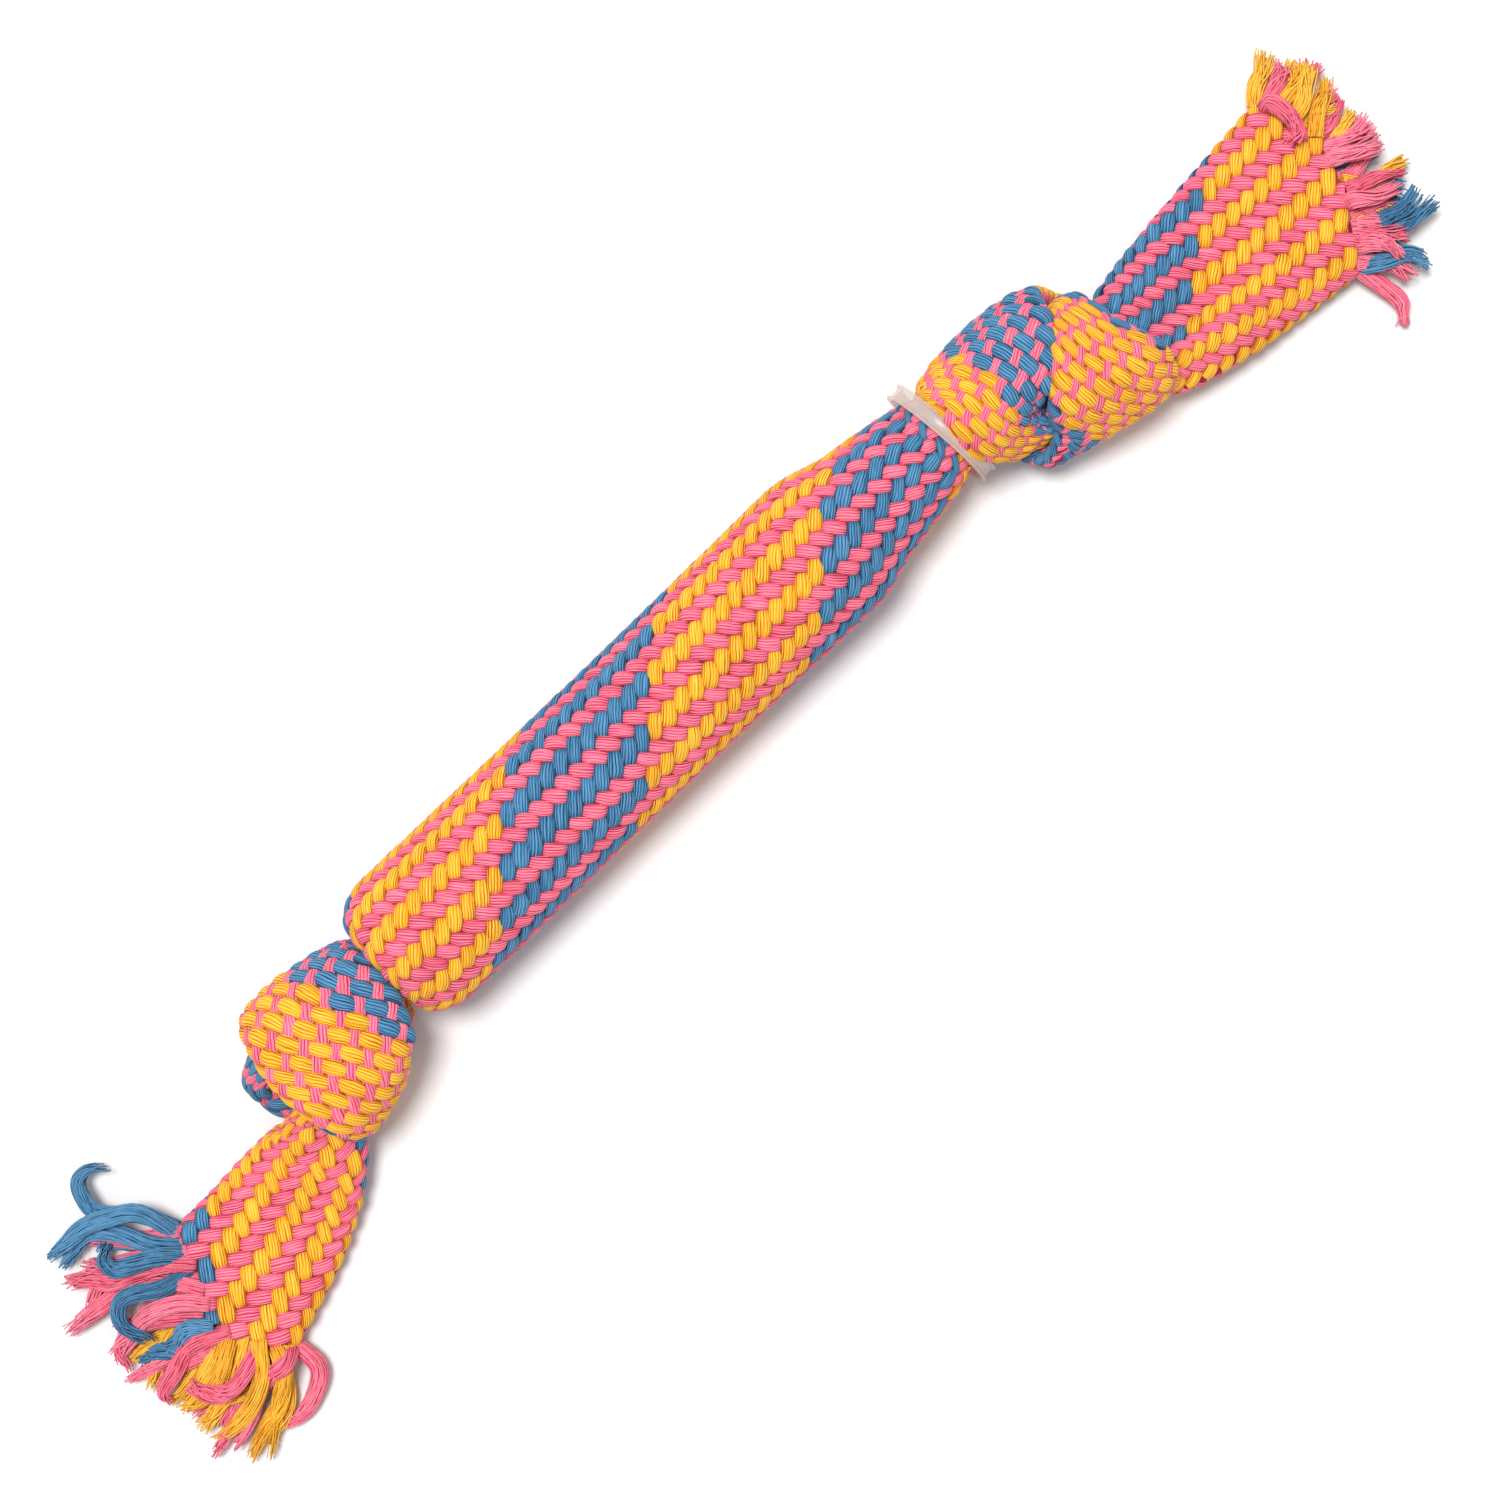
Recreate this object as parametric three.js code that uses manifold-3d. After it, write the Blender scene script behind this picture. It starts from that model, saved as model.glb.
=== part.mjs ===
// Rope dog toy: a braided sleeve filled round in the middle, tied in an overhand knot at both ends, with
// flat tails and loose strand ends. Millimetres, +Z up. The toy lies on the plane z = 0 with its body along
// X, and the origin is on the flat that the body rests on. End a is at -X and end b, with the band, at +X.
import * as THREE from "three";
import { mergeVertices } from "three/addons/utils/BufferGeometryUtils.js";
import Module from "manifold-3d";

const clearance = 0.3; // gap between pieces that touch

// Filled body: round at end a, drawn in to a slimmer collar at end b
const bodyDiameter = 42;
const bodyReachA = 98;
const bodyReachB = 101;
const endRoundingA = 12.5;
const bodyWaist = 0.5; // how far the body's radius draws in at its middle
const taperStartB = 63;
const taperEndB = 85;
const collarDiameter = 33;
const collarEndDiameter = 27.4;
const sleeveWall = 3.6;
const restFlatDepth = 0.5;
const fillingNose = 6; // rounded end of the filling in the collar

// Necks: gathered sleeve from the body to where the rope enters each knot
const neckDiameterA = 24;
const neckDiameterB = 26;
const neckLengthA = 4.6;
const neckLengthB = 14;
const neckThroatDiameter = 13.2; // where the neck enters the knot
const throatStep = 2; // how far neck b draws in past the band
const neckBoreDiameter = 6;

// Clear plastic band that hangs on neck b
const bandInnerDiameter = 31;
const bandThickness = 0.9;
const bandWidth = 4.6;
const bandRim = 0.8; // how far the two rims turn outwards
const bandStandoff = 3.3; // from the end of the body to the middle of the band
const bandTilt = THREE.MathUtils.degToRad(5.5);

// Knots: stretch along X, lean sideways per millimetre, place of the middle along Y and Z
const knotReach = 19; // from the middle of a knot to where the rope enters it
const neighbourReach = 22; // parts of a knot closer than this along the rope are neighbours
const knotA = { side: -1, face: 1, stretch: 1, lean: 0, across: -6.6, height: 19.3 };
const knotB = { side: 1, face: -1, stretch: 1.21, lean: -0.16, across: -9.4, height: 19.2 };

// Tails and loose strand ends
const tailWall = 3.8;
const strandDiameter = 3.2;
const strandsPerTail = 20;
const strandLengthA = 38;
const strandLengthB = 29;
const strandSplay = 0.6; // how far the outermost strands turn away from the tail, in radians
const strandDroop = 1.4;
const strandVariation = 0.14; // share by which strand lengths differ
const strandPhase = 2.4; // step between neighbours of the wave that varies their lengths

// Facets
const bodySides = 40;
const bandSides = 32;
const arcSteps = 6;
const sectionSides = 16;
const knotRings = 62;
const tailRings = 15;
const pocketRings = 8; // rings of a tail that are hollow, counted from its open end
const strandSides = 6;
const strandSteps = 5;

const colours = { pink: 0xf5698c, yellow: 0xfab41e, blue: 0x3c82af, filling: 0xe9e5dd, clear: 0xdcd8d2 };

const wasm = await Module();
wasm.setup();

const toy = new THREE.Group();
toy.name = "rope_dog_toy";

function addPiece(name, geometry, colour, roughness = 0.9) {
  const material = new THREE.MeshStandardMaterial({ color: colours[colour], roughness, metalness: 0 });
  const mesh = new THREE.Mesh(geometry, material);
  mesh.name = name;
  toy.add(mesh);
  return mesh;
}

// A closed geometry as a solid that can be cut.
function solidOf(geometry) {
  const plain = geometry.clone();
  plain.deleteAttribute("normal");
  plain.deleteAttribute("uv");
  const merged = mergeVertices(plain, 1e-4);
  const mesh = new wasm.Mesh({
    numProp: 3,
    vertProperties: new Float32Array(merged.attributes.position.array),
    triVerts: new Uint32Array(merged.index.array),
  });
  return new wasm.Manifold(mesh);
}

function geometryOf(solid) {
  const mesh = solid.getMesh();
  const geometry = new THREE.BufferGeometry();
  geometry.setAttribute("position", new THREE.BufferAttribute(mesh.vertProperties, 3));
  geometry.setIndex(new THREE.BufferAttribute(mesh.triVerts, 1));
  return geometry;
}

// Cuts away what lies below the plane that the toy rests on.
function cutFlat(geometry) {
  const reach = 4 * (bodyReachA + bodyReachB);
  const below = new THREE.BoxGeometry(reach, reach, reach).translate(0, 0, -reach / 2);
  return geometryOf(solidOf(geometry).subtract(solidOf(below)));
}

// Joins rings with equal numbers of points into one closed body and caps the first and the last ring.
function loft(rings) {
  const sides = rings[0].length;
  const faces = [];
  for (let ring = 0; ring + 1 < rings.length; ring++) {
    for (let side = 0; side < sides; side++) {
      const here = ring * sides + side;
      const next = ring * sides + ((side + 1) % sides);
      faces.push(here, next, next + sides, here, next + sides, here + sides);
    }
  }
  const last = (rings.length - 1) * sides;
  for (let side = 1; side + 1 < sides; side++) {
    faces.push(0, side + 1, side, last, last + side, last + side + 1);
  }
  const geometry = new THREE.BufferGeometry().setFromPoints(rings.flat());
  geometry.setIndex(faces);
  return geometry;
}

// Turns a profile of [x, radius] points round the X axis.
function turned(profile, sides = bodySides) {
  const points = profile.map(([x, radius]) => new THREE.Vector2(radius, x));
  return new THREE.LatheGeometry(points, sides).rotateZ(-Math.PI / 2);
}

// The body's outline from end a to end b as [x, radius] points, drawn in everywhere by an inset.
const bodyRadius = bodyDiameter / 2;
const axisHeight = bodyRadius - restFlatDepth;

function bodyOutline(inset) {
  const points = [];
  const shares = Array.from({ length: arcSteps + 1 }, (_, step) => step / arcSteps);
  const neckRadius = neckDiameterA / 2;
  const roundedTo = -bodyReachA + endRoundingA;
  for (const share of shares) {
    const angle = (share * Math.PI) / 2;
    const x = -bodyReachA + inset + (endRoundingA - inset) * (1 - Math.cos(angle));
    points.push([x, neckRadius + (bodyRadius - neckRadius) * Math.sin(angle) - inset]);
  }
  for (const share of [0.2, 0.4, 0.6, 0.8]) {
    const x = roundedTo + share * (taperStartB - roundedTo);
    points.push([x, bodyRadius - bodyWaist * Math.sin(share * Math.PI) - inset]);
  }
  const collarRadius = collarDiameter / 2;
  for (const share of shares) {
    const x = taperStartB + share * (taperEndB - taperStartB);
    const drop = (0.5 - 0.5 * Math.cos(share * Math.PI)) * (bodyRadius - collarRadius);
    points.push([x, bodyRadius - drop - inset]);
  }
  return points;
}

function bodySleeve() {
  const bore = neckBoreDiameter / 2;
  const collarEnd = collarEndDiameter / 2;
  const profile = [
    [-bodyReachA, bore],
    ...bodyOutline(0),
    [bodyReachB, collarEnd],
    [bodyReachB, bore],
    [bodyReachB - sleeveWall, bore],
    [bodyReachB - sleeveWall, collarEnd - sleeveWall],
    ...bodyOutline(sleeveWall).reverse(),
    [-bodyReachA + sleeveWall, bore],
    [-bodyReachA, bore],
  ];
  return cutFlat(turned(profile).translate(0, 0, axisHeight));
}

// The filling's end in the collar is a rounded nose.
function fillingCore() {
  const outline = bodyOutline(sleeveWall + clearance);
  const [start] = outline[0];
  const [, collar] = outline.at(-1);
  const nose = [0.4, 0.75].map((share) => [taperEndB + fillingNose * share, collar * Math.sqrt(1 - share ** 2)]);
  const profile = [[start, 0], ...outline, ...nose, [taperEndB + fillingNose, 0]];
  return turned(profile).translate(0, 0, axisHeight);
}

addPiece("body_sleeve", bodySleeve(), "pink");
addPiece("filling_core", fillingCore(), "filling");

// A gathered ring of sleeve round the body's axis: an outline of [distance from the middle, radius] points.
function gathered(side, outline) {
  const bore = neckBoreDiameter / 2;
  const [from] = outline[0];
  const [to] = outline.at(-1);
  const profile = [[from, bore], ...outline, [to, bore], [from, bore]];
  const placed = profile.map(([x, radius]) => [side * x, radius]);
  const ordered = side > 0 ? placed : placed.reverse();
  return turned(ordered).translate(0, 0, axisHeight);
}

// A ring that draws in from a shoulder to the throat where the rope enters the knot.
function drawnIn(from, to, shoulderRadius) {
  const throat = neckThroatDiameter / 2;
  return [
    [from, shoulderRadius],
    [(from + to) / 2, throat + (shoulderRadius - throat) * 0.3],
    [to, throat],
  ];
}

const neckEndA = bodyReachA + neckLengthA;
const neckEndB = bodyReachB + neckLengthB;
const bandSeatEnd = bodyReachB + bandStandoff + bandWidth / 2; // neck b is full width under the band
const shoulderA = neckDiameterA / 2 - clearance;
const shoulderB = neckDiameterB / 2;
const seatB = [bodyReachB + clearance, bandSeatEnd].map((x) => [x, shoulderB]);
addPiece("neck_a", gathered(-1, drawnIn(bodyReachA + clearance, neckEndA - clearance, shoulderA)), "yellow");
addPiece("neck_b", gathered(1, seatB), "blue");
const throatB = drawnIn(bandSeatEnd + clearance, neckEndB - clearance, shoulderB - throatStep);
addPiece("throat_b", gathered(1, throatB), "blue");

// The band is a thin ring whose rims turn outwards. It hangs on the top of the neck.
function clearBand() {
  const inner = bandInnerDiameter / 2;
  const outer = inner + bandThickness;
  const half = bandWidth / 2;
  const profile = [
    [-half, inner + bandRim],
    [-half, outer + bandRim],
    [-half + bandThickness, outer],
    [half - bandThickness, outer],
    [half, outer + bandRim],
    [half, inner + bandRim],
    [half - bandThickness, inner],
    [-half + bandThickness, inner],
    [-half, inner + bandRim],
  ];
  return turned(profile, bandSides);
}

const band = addPiece("clear_band", clearBand(), "clear", 0.25);
const bandDrop = bandInnerDiameter / 2 - neckDiameterB / 2 - clearance;
band.position.set(bodyReachB + bandStandoff, 0, axisHeight - bandDrop);
band.rotation.z = bandTilt;

// Overhand knots. Each row of the route holds a place in the knot (along, away from the body; across, to
// +Y; out, to the face with the single wrap), the turn of the section's outer side about the along axis in
// degrees, the section's width and thickness, and how far its edges bow in. The rows run from the middle of
// the wrap to the tail. Half a turn about the out axis gives the rows from the neck to the wrap.
const wrapToTail = [
  [0, 0, 13.4, 0, 40, 10.2, 3.2],
  [-3.5, 12.6, 11.4, 42, 33, 10.2, 2],
  [-7.5, 19, 0.3, 92, 25, 10, 1],
  [-9, 12.7, -10.7, 138, 21.2, 10.2, 0.8],
  [-9.9, 4.5, -13.8, 172, 19.2, 10.2, 0.4],
  [-11.6, -3.4, -13.4, 190, 16.5, 10, 0],
  [-15.6, -7.3, -10.6, 222, 13, 9.4, 0],
  [-16.4, -9.8, -6, 250, 10.5, 9.2, 0],
  [-13.4, -10.2, -1.8, 262, 10, 9.4, 0],
  [-7.3, -8.4, -0.3, 270, 10.2, 9.8, 0],
  [2, -6.5, 0, 270, 10.5, 10, 0],
  [11, -6.6, 0.4, 270, 10.6, 10.4, 0],
  [knotReach, -6.6, 0.4, 270, 11, 10.4, 0],
];
const neckToWrap = wrapToTail
  .slice(1)
  .map(([along, across, out, turn, ...section]) => [-along, -across, out, -turn, ...section])
  .reverse();

// A smooth curve through three chosen values of each row.
function curveOf(rows, first) {
  const points = rows.map((row) => new THREE.Vector3(row[first], row[first + 1] ?? 0, row[first + 2] ?? 0));
  return new THREE.CatmullRomCurve3(points, false, "catmullrom", 0.5);
}

// A point on a full oval, by its share of the way round, with the edges bowed in.
const ovalFullness = 0.8;

function ovalPoint(share, width, thickness, bow) {
  const angle = share * 2 * Math.PI;
  const rounded = (value) => Math.sign(value) * Math.abs(value) ** ovalFullness;
  const across = rounded(Math.cos(angle));
  const out = (thickness / 2) * rounded(Math.sin(angle)) - bow * across ** 2;
  return new THREE.Vector2((width / 2) * across, out);
}

// The middle, directions and section of a route at a share of its length.
function stationAt(rows, share) {
  const centre = curveOf(rows, 0).getPoint(share);
  const ahead = curveOf(rows, 0).getTangent(share);
  const { x: turn, y: width, z: thickness } = curveOf(rows, 3).getPoint(share);
  const bow = curveOf(rows, 6).getPoint(share).x;
  const angle = THREE.MathUtils.degToRad(turn);
  const outward = new THREE.Vector3(0, Math.sin(angle), Math.cos(angle));
  outward.addScaledVector(ahead, -outward.dot(ahead)).normalize();
  const sideways = new THREE.Vector3().crossVectors(ahead, outward);
  return { centre, ahead, outward, sideways, width, thickness, bow };
}

// The ring of points round a station, drawn in by a wall where it is the inside of a hollow.
function ringAt(station, wall = 0) {
  const { centre, outward, sideways, width, thickness, bow } = station;
  const ring = [];
  for (let side = 0; side < sectionSides; side++) {
    const flat = ovalPoint(side / sectionSides, width - 2 * wall, thickness - 2 * wall, bow);
    ring.push(centre.clone().addScaledVector(sideways, flat.x).addScaledVector(outward, flat.y));
  }
  return ring;
}

// Least distance between points of a route's surface that lie further apart along the route than a reach.
function leastSelfGap(rings, centres, reach) {
  const walked = [0];
  for (let at = 1; at < centres.length; at++) {
    walked.push(walked[at - 1] + centres[at].distanceTo(centres[at - 1]));
  }
  let least = Infinity;
  for (let from = 0; from < rings.length; from++) {
    for (let to = from + 1; to < rings.length; to++) {
      if (walked[to] - walked[from] < reach) continue;
      for (const p of rings[from]) {
        for (const q of rings[to]) least = Math.min(least, p.distanceTo(q));
      }
    }
  }
  return least;
}

// A knot's place in the toy.
function knotMiddle(knot) {
  const entry = knot.side < 0 ? neckEndA : neckEndB;
  return entry + knotReach * knot.stretch;
}

function placeInToy(knot, point) {
  const along = point.x * knot.stretch;
  const x = knot.side * (knotMiddle(knot) + along);
  return new THREE.Vector3(x, knot.across + point.y + knot.lean * along, knot.height + knot.face * point.z);
}

function overhandKnot(name, knot) {
  const rows = [...neckToWrap, ...wrapToTail];
  const stations = [];
  for (let step = 0; step < knotRings; step++) stations.push(stationAt(rows, step / (knotRings - 1)));
  const rings = stations.map((station) => ringAt(station).map((point) => placeInToy(knot, point)));
  const centres = stations.map((station) => placeInToy(knot, station.centre));
  const gap = leastSelfGap(rings, centres, neighbourReach);
  console.log(name + " least gap to itself: " + gap.toFixed(2) + " mm");
  return loft(rings);
}

addPiece("knot_a", overhandKnot("knot_a", knotA), "yellow");
addPiece("knot_b", overhandKnot("knot_b", knotB), "yellow");

// Tails: the empty sleeve leaves the knot, turns flat and comes down to the surface. Rows hold a place (away
// from the knot's tail end, across, height), a turn, a width and a thickness.
const tailA = [
  [0, 0, 0, 270, 11, 10.4],
  [4, 0, 0, 270, 11.6, 12.4],
  [9.2, -3.8, -3, 308, 22, 12.6],
  [14.5, -9.8, -8.6, 342, 32, 12],
  [22, -14.2, -12.6, 360, 37, 10.8],
  [34, -17.4, -14, 360, 41, 10.6],
  [49, -20.8, -14.1, 360, 46.5, 10.5],
];
const tailB = [
  [0, 0, 0, 270, 11, 10.4],
  [3, 0, 0, 270, 12, 13.5],
  [7, 0.2, -2.2, 236, 23, 13],
  [12, 0.4, -5.6, 202, 34, 12],
  [19.5, 0.4, -9.9, 180, 40, 10.8],
  [35, -0.4, -12.7, 180, 46, 10.6],
  [61, -1, -13, 180, 52, 10.5],
];

function tailRows(knot, rows) {
  const end = placeInToy(knot, new THREE.Vector3(...wrapToTail.at(-1)));
  return rows.map(([away, across, up, ...section]) => {
    const x = end.x + knot.side * (away + clearance);
    return [x, end.y + across, end.z + up, ...section, 0];
  });
}

// A tail is hollow from its open end: the rings run along the outside and back along the inside.
function hollowTail(rows) {
  const stations = [];
  for (let step = 0; step < tailRings; step++) stations.push(stationAt(rows, step / (tailRings - 1)));
  const outside = stations.map((station) => ringAt(station));
  const inside = stations.slice(-pocketRings).map((station) => ringAt(station, tailWall)).reverse();
  return loft([...outside, ...inside].map((ring) => ring.reverse()));
}

const rowsA = tailRows(knotA, tailA);
const rowsB = tailRows(knotB, tailB);
addPiece("tail_a", hollowTail(rowsA), "yellow");
addPiece("tail_b", hollowTail(rowsB), "pink");

// Loose strand ends: evenly spaced round the open end of a tail, fanned out and drooping a little.
function strandShape() {
  const shape = new THREE.Shape();
  shape.absarc(0, 0, strandDiameter / 2, 0, 2 * Math.PI);
  return shape;
}

function addStrands(letter, rows, length) {
  const { centre, ahead, outward, sideways, width, thickness } = stationAt(rows, 1);
  const wallMiddle = [];
  for (let side = 0; side < 2 * sectionSides; side++) {
    const flat = ovalPoint(side / (2 * sectionSides), width - tailWall, thickness - tailWall, 0);
    wallMiddle.push(new THREE.Vector3(flat.x, flat.y, 0));
  }
  const spaced = new THREE.CatmullRomCurve3(wallMiddle, true).getSpacedPoints(strandsPerTail);
  const up = new THREE.Vector3(0, 0, 1);
  for (let strand = 0; strand < strandsPerTail; strand++) {
    const { x: across, y: out } = spaced[strand];
    const start = centre.clone().addScaledVector(sideways, across).addScaledVector(outward, out);
    start.addScaledVector(ahead, clearance);
    const reach = length * (1 - strandVariation + strandVariation * Math.sin(strandPhase * strand));
    const fan = strandSplay * (across / (width / 2)) * Math.sign(sideways.clone().cross(ahead).z);
    const points = [0, 0.35, 0.7, 1].map((share) => {
      const turn = new THREE.Quaternion().setFromAxisAngle(up, -fan * share);
      const forward = ahead.clone().applyQuaternion(turn);
      const point = start.clone().addScaledVector(forward, reach * share);
      point.z -= start.z > centre.z ? strandDroop * share ** 2 : 0;
      return point;
    });
    const path = new THREE.CatmullRomCurve3(points);
    const arcs = strandSides / 2;
    const settings = { steps: strandSteps, extrudePath: path, bevelEnabled: false, curveSegments: arcs };
    const colour = ["pink", "yellow", "pink", "blue"][strand % 4];
    const number = String(strand + 1).padStart(2, "0");
    addPiece("strand_" + letter + "_" + number, new THREE.ExtrudeGeometry(strandShape(), settings), colour);
  }
}

addStrands("a", rowsA, strandLengthA);
addStrands("b", rowsB, strandLengthB);

export default toy;
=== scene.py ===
"""Looks of the rope dog toy: a braid of 48 strands through its tails, knots, necks and body, with loose ends,
a clear band and soft filling."""

import math

import bpy
import mathutils
import numpy as np
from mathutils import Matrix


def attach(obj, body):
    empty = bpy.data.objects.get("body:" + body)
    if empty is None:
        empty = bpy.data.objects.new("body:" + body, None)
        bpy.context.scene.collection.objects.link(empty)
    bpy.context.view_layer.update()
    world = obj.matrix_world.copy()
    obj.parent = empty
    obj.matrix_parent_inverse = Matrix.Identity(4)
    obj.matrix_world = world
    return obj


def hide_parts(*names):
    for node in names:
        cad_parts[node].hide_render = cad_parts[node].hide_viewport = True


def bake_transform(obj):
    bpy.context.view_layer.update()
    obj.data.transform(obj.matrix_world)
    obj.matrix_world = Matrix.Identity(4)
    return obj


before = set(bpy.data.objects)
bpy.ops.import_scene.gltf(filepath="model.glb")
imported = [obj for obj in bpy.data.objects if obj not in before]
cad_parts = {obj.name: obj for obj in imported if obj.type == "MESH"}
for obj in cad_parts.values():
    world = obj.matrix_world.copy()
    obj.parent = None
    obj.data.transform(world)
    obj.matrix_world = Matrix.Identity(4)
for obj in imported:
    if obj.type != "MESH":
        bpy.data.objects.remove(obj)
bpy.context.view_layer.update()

MM = 0.001
rng = np.random.default_rng(11)

# Sizes and places of the sleeve's middle, in millimetres
AXIS_HEIGHT = 20.5
BODY_RADIUS = 21
BODY_REACH_A = 98
BODY_REACH_B = 101
NECK_END_A = 102.6
NECK_END_B = 115
END_ROUNDING = 12.5
NECK_RADIUS_A = 12
THROAT_RADIUS_A = 8
ENTRY_RADIUS = 6  # where the sleeve enters a knot
COLLAR_RADIUS = 16.5
TAPER_START = 63
TAPER_END = 85
BODY_WAIST = 0.5
BAND_SEAT_END = 106.6
BEND_A = -100.4  # where each neck bends
BEND_B = 110.5
# Places and radii after the taper
COLLAR = [[93, 15.2], [BODY_REACH_B, 13.9], [BAND_SEAT_END, 12.4], [BEND_B, 9.4]]
SINK_LENGTH = 6  # how far inside the body the axis starts to sink
CURVE_POINTS = 13
MIDDLE_POINTS = 21

# The sleeve through a knot and its tail, from the neck to the free end. Rows hold a place, the turn of the
# section's outer side about X in degrees, and the section's width and thickness.
ROUTE_A = [
    [-102.6, 0, 19.7, -270, 11, 10.4],
    [-110.6, 0, 19.7, -270, 10.6, 10.4],
    [-119.6, -0.1, 19.3, -270, 10.5, 10],
    [-128.9, 1.8, 19, -270, 10.2, 9.8],
    [-136.6, 3.4, 17.5, -262, 10, 9.4],
    [-140.6, 2, 13.3, -250, 12, 9.2],
    [-140.6, -1.4, 8.7, -222, 15, 9.4],
    [-137.1, -7.6, 5.7, -190, 20, 10],
    [-132.6, -13.6, 5.6, -172, 24, 10],
    [-127.5, -20, 8.6, -138, 25, 10],
    [-122.5, -23.2, 19.9, -92, 27, 10],
    [-121, -18.6, 30.6, -40, 34, 10.2],
    [-119.2, -6.2, 32.6, 0, 41, 10.2],
    [-117.8, 6.4, 30.8, 40, 40, 10.2],
    [-116.6, 12.2, 19.9, 92, 37, 10],
    [-114.1, 6.4, 8.4, 138, 31, 10],
    [-112.1, -2.1, 5.6, 172, 26, 10],
    [-109.6, -7.6, 5.9, 190, 18.5, 10],
    [-107.4, -10.6, 8.7, 222, 13.2, 9.4],
    [-107.2, -12, 13.3, 250, 10.5, 9.2],
    [-109.6, -12.8, 17.5, 262, 10, 9.4],
    [-114.8, -13.2, 19, 270, 10.2, 9.8],
    [-123, -14, 18.5, 275, 11, 10],
    [-131.5, -15, 17, 300, 14, 10],
    [-137.5, -18.5, 15, 330, 20, 10.5],
    [-142.5, -21.8, 12.8, 350, 25, 11],
    [-149, -24.4, 9.6, 360, 30.5, 11],
    [-160, -27.8, 6.8, 360, 36.5, 10.8],
    [-176, -31.6, 6.1, 360, 42, 10.6],
    [-203, -36, 6, 360, 50, 10.5],
]
ROUTE_B = [
    [115, 0.9, 18.8, 450, 11, 10.4],
    [124.7, -0.7, 18.8, 450, 10.6, 10.4],
    [135.6, -2, 19.2, 450, 10.5, 10],
    [146.5, -0.8, 19.5, 450, 10.2, 9.8],
    [150.6, -0.4, 21, 442, 10, 9.4],
    [153, -0.4, 25.2, 430, 10.5, 9.2],
    [152.8, -1.8, 29.6, 402, 12, 9.4],
    [151.8, -5.4, 33, 370, 16.5, 10],
    [149.6, -11.8, 34.8, 350, 26, 10],
    [147.6, -20.8, 32.4, 315, 35, 10],
    [146, -27.6, 19.5, 272, 36, 10],
    [141.5, -22, 7.8, 220, 41, 10.2],
    [138, -9.4, 6.1, 180, 44, 10.2],
    [134.5, 3, 7.8, 140, 44, 10.2],
    [130.6, 10.8, 18.6, 88, 44, 10],
    [128, 6, 29.5, 48, 42, 10],
    [124.8, -1, 33, 12, 36, 10],
    [122.2, -5.4, 32.2, -14, 30, 10],
    [120.8, -9.2, 28.6, -42, 26, 9.4],
    [122, -12.8, 22.6, -66, 20, 9.4],
    [126.4, -15.8, 18.2, -84, 16.5, 9.6],
    [133.4, -16.6, 17.2, -92, 13.5, 9.8],
    [141, -16.6, 17, -98, 13, 10],
    [149, -16.8, 16.2, -125, 17, 10.4],
    [156, -17.6, 13.8, -158, 27, 11],
    [162.5, -18.4, 11.6, -176, 34.5, 11.4],
    [171, -19.4, 9.8, -180, 39.5, 11.4],
    [182, -20, 8.6, -180, 43.5, 11],
    [200, -20.3, 7.2, -180, 47.6, 10.6],
    [241, -21, 6.1, -180, 56, 10.4],
]
# For the same rows: the section's bow, the strands' run, the turn of the outer side about Z in degrees, and
# how high the section rolls up near its edge on the -Y side
BOW_A = [0] * 8 + [0.5, 1, 1.6, 2.2, 2.2, 1.5, 0.7, 1, 0.5] + [0] * 13
RUN_A = [7.2] * 11 + [7] * 4 + [7.2] * 8 + [5.6, 5.6, 5.9, 6.1, 6.3, 6.6, 7]
SLEW_A = [0] * 8 + [4, 10, 16, 9, 0, -5, -9, -6] + [0] * 14
ROLL_A = [0] * len(ROUTE_A)
BOW_B = [0] * 7 + [0.3, 0.8, 1.4, 1.5, 2.6, 3.2, 2.6, 2, 1.2, 0.6, 0.6, 0.6, 0.4] + [0] * 10
RUN_B = [7, 6.6] + [6.4] * 8 + [6.2, 6] + [5.9] * 6 + [6] * 3 + [6.2, 6.4, 6.4, 6.2, 6, 6.2, 6.4, 6.6, 7]
SLEW_B = [0] * 6 + [-3, -6, -9, -13, -15, -6] + [0] * 18
ROLL_B = [0] * 23 + [1, 2.5, 4.5, 5.5, 5, 3.2, 0.6]
ROUTES = {
    "a": np.column_stack([ROUTE_A, BOW_A, RUN_A, SLEW_A, ROLL_A]),
    "b": np.column_stack([ROUTE_B, BOW_B, RUN_B, SLEW_B, ROLL_B]),
}
LAST_ROW = len(ROUTE_A) - 1
TIED_ROWS = 24  # rows of a route up to where the tail leaves the knot
TIGHTEN_ROWS = 2  # rows over which the strands tighten at its entry
SLACKEN_ROWS = 3  # rows over which they slacken again
FREE_ROWS = 2  # rows over which they come free in the tail

# The braid
PER_WAY = 24
STRAND_RUN = 7.25  # length of strand from one crossing of a kind to the next
STEEPEST = 0.97  # the most of its run that a strand goes round the sleeve
PATTERN_START = 2.8  # where the first blue strand crosses the top of the body
ROUND = 240  # points round a ring of the sleeve's surface
FINE_ROUND = 721  # points that they are chosen from
OVAL_FULLNESS = 0.72
RINGS = 420  # rings along each route and along the body
ENTRY_TURN = 0.25  # turns of the outer side from the body to a knot
CROWDING = 0.24  # how much closer the strands lie on the outer side of a knot
STEADY = 0.6  # how far the braid in a knot faces straight out of its section
TUCK = ([22, 24.5, 29], [0, 1, 0.5])  # rows of a route and how much the strands turn under a tail there
TUCKED = {"a": 0.4, "b": -0.12}  # the share that does so
ROLL_PLACE = 0.55  # where an edge rolls up, as a share of half the width
ROLL_WIDTH = 0.34
ROLL_HOLLOW = 0.5  # depth of the hollow beside it, as a share of its height


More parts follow.
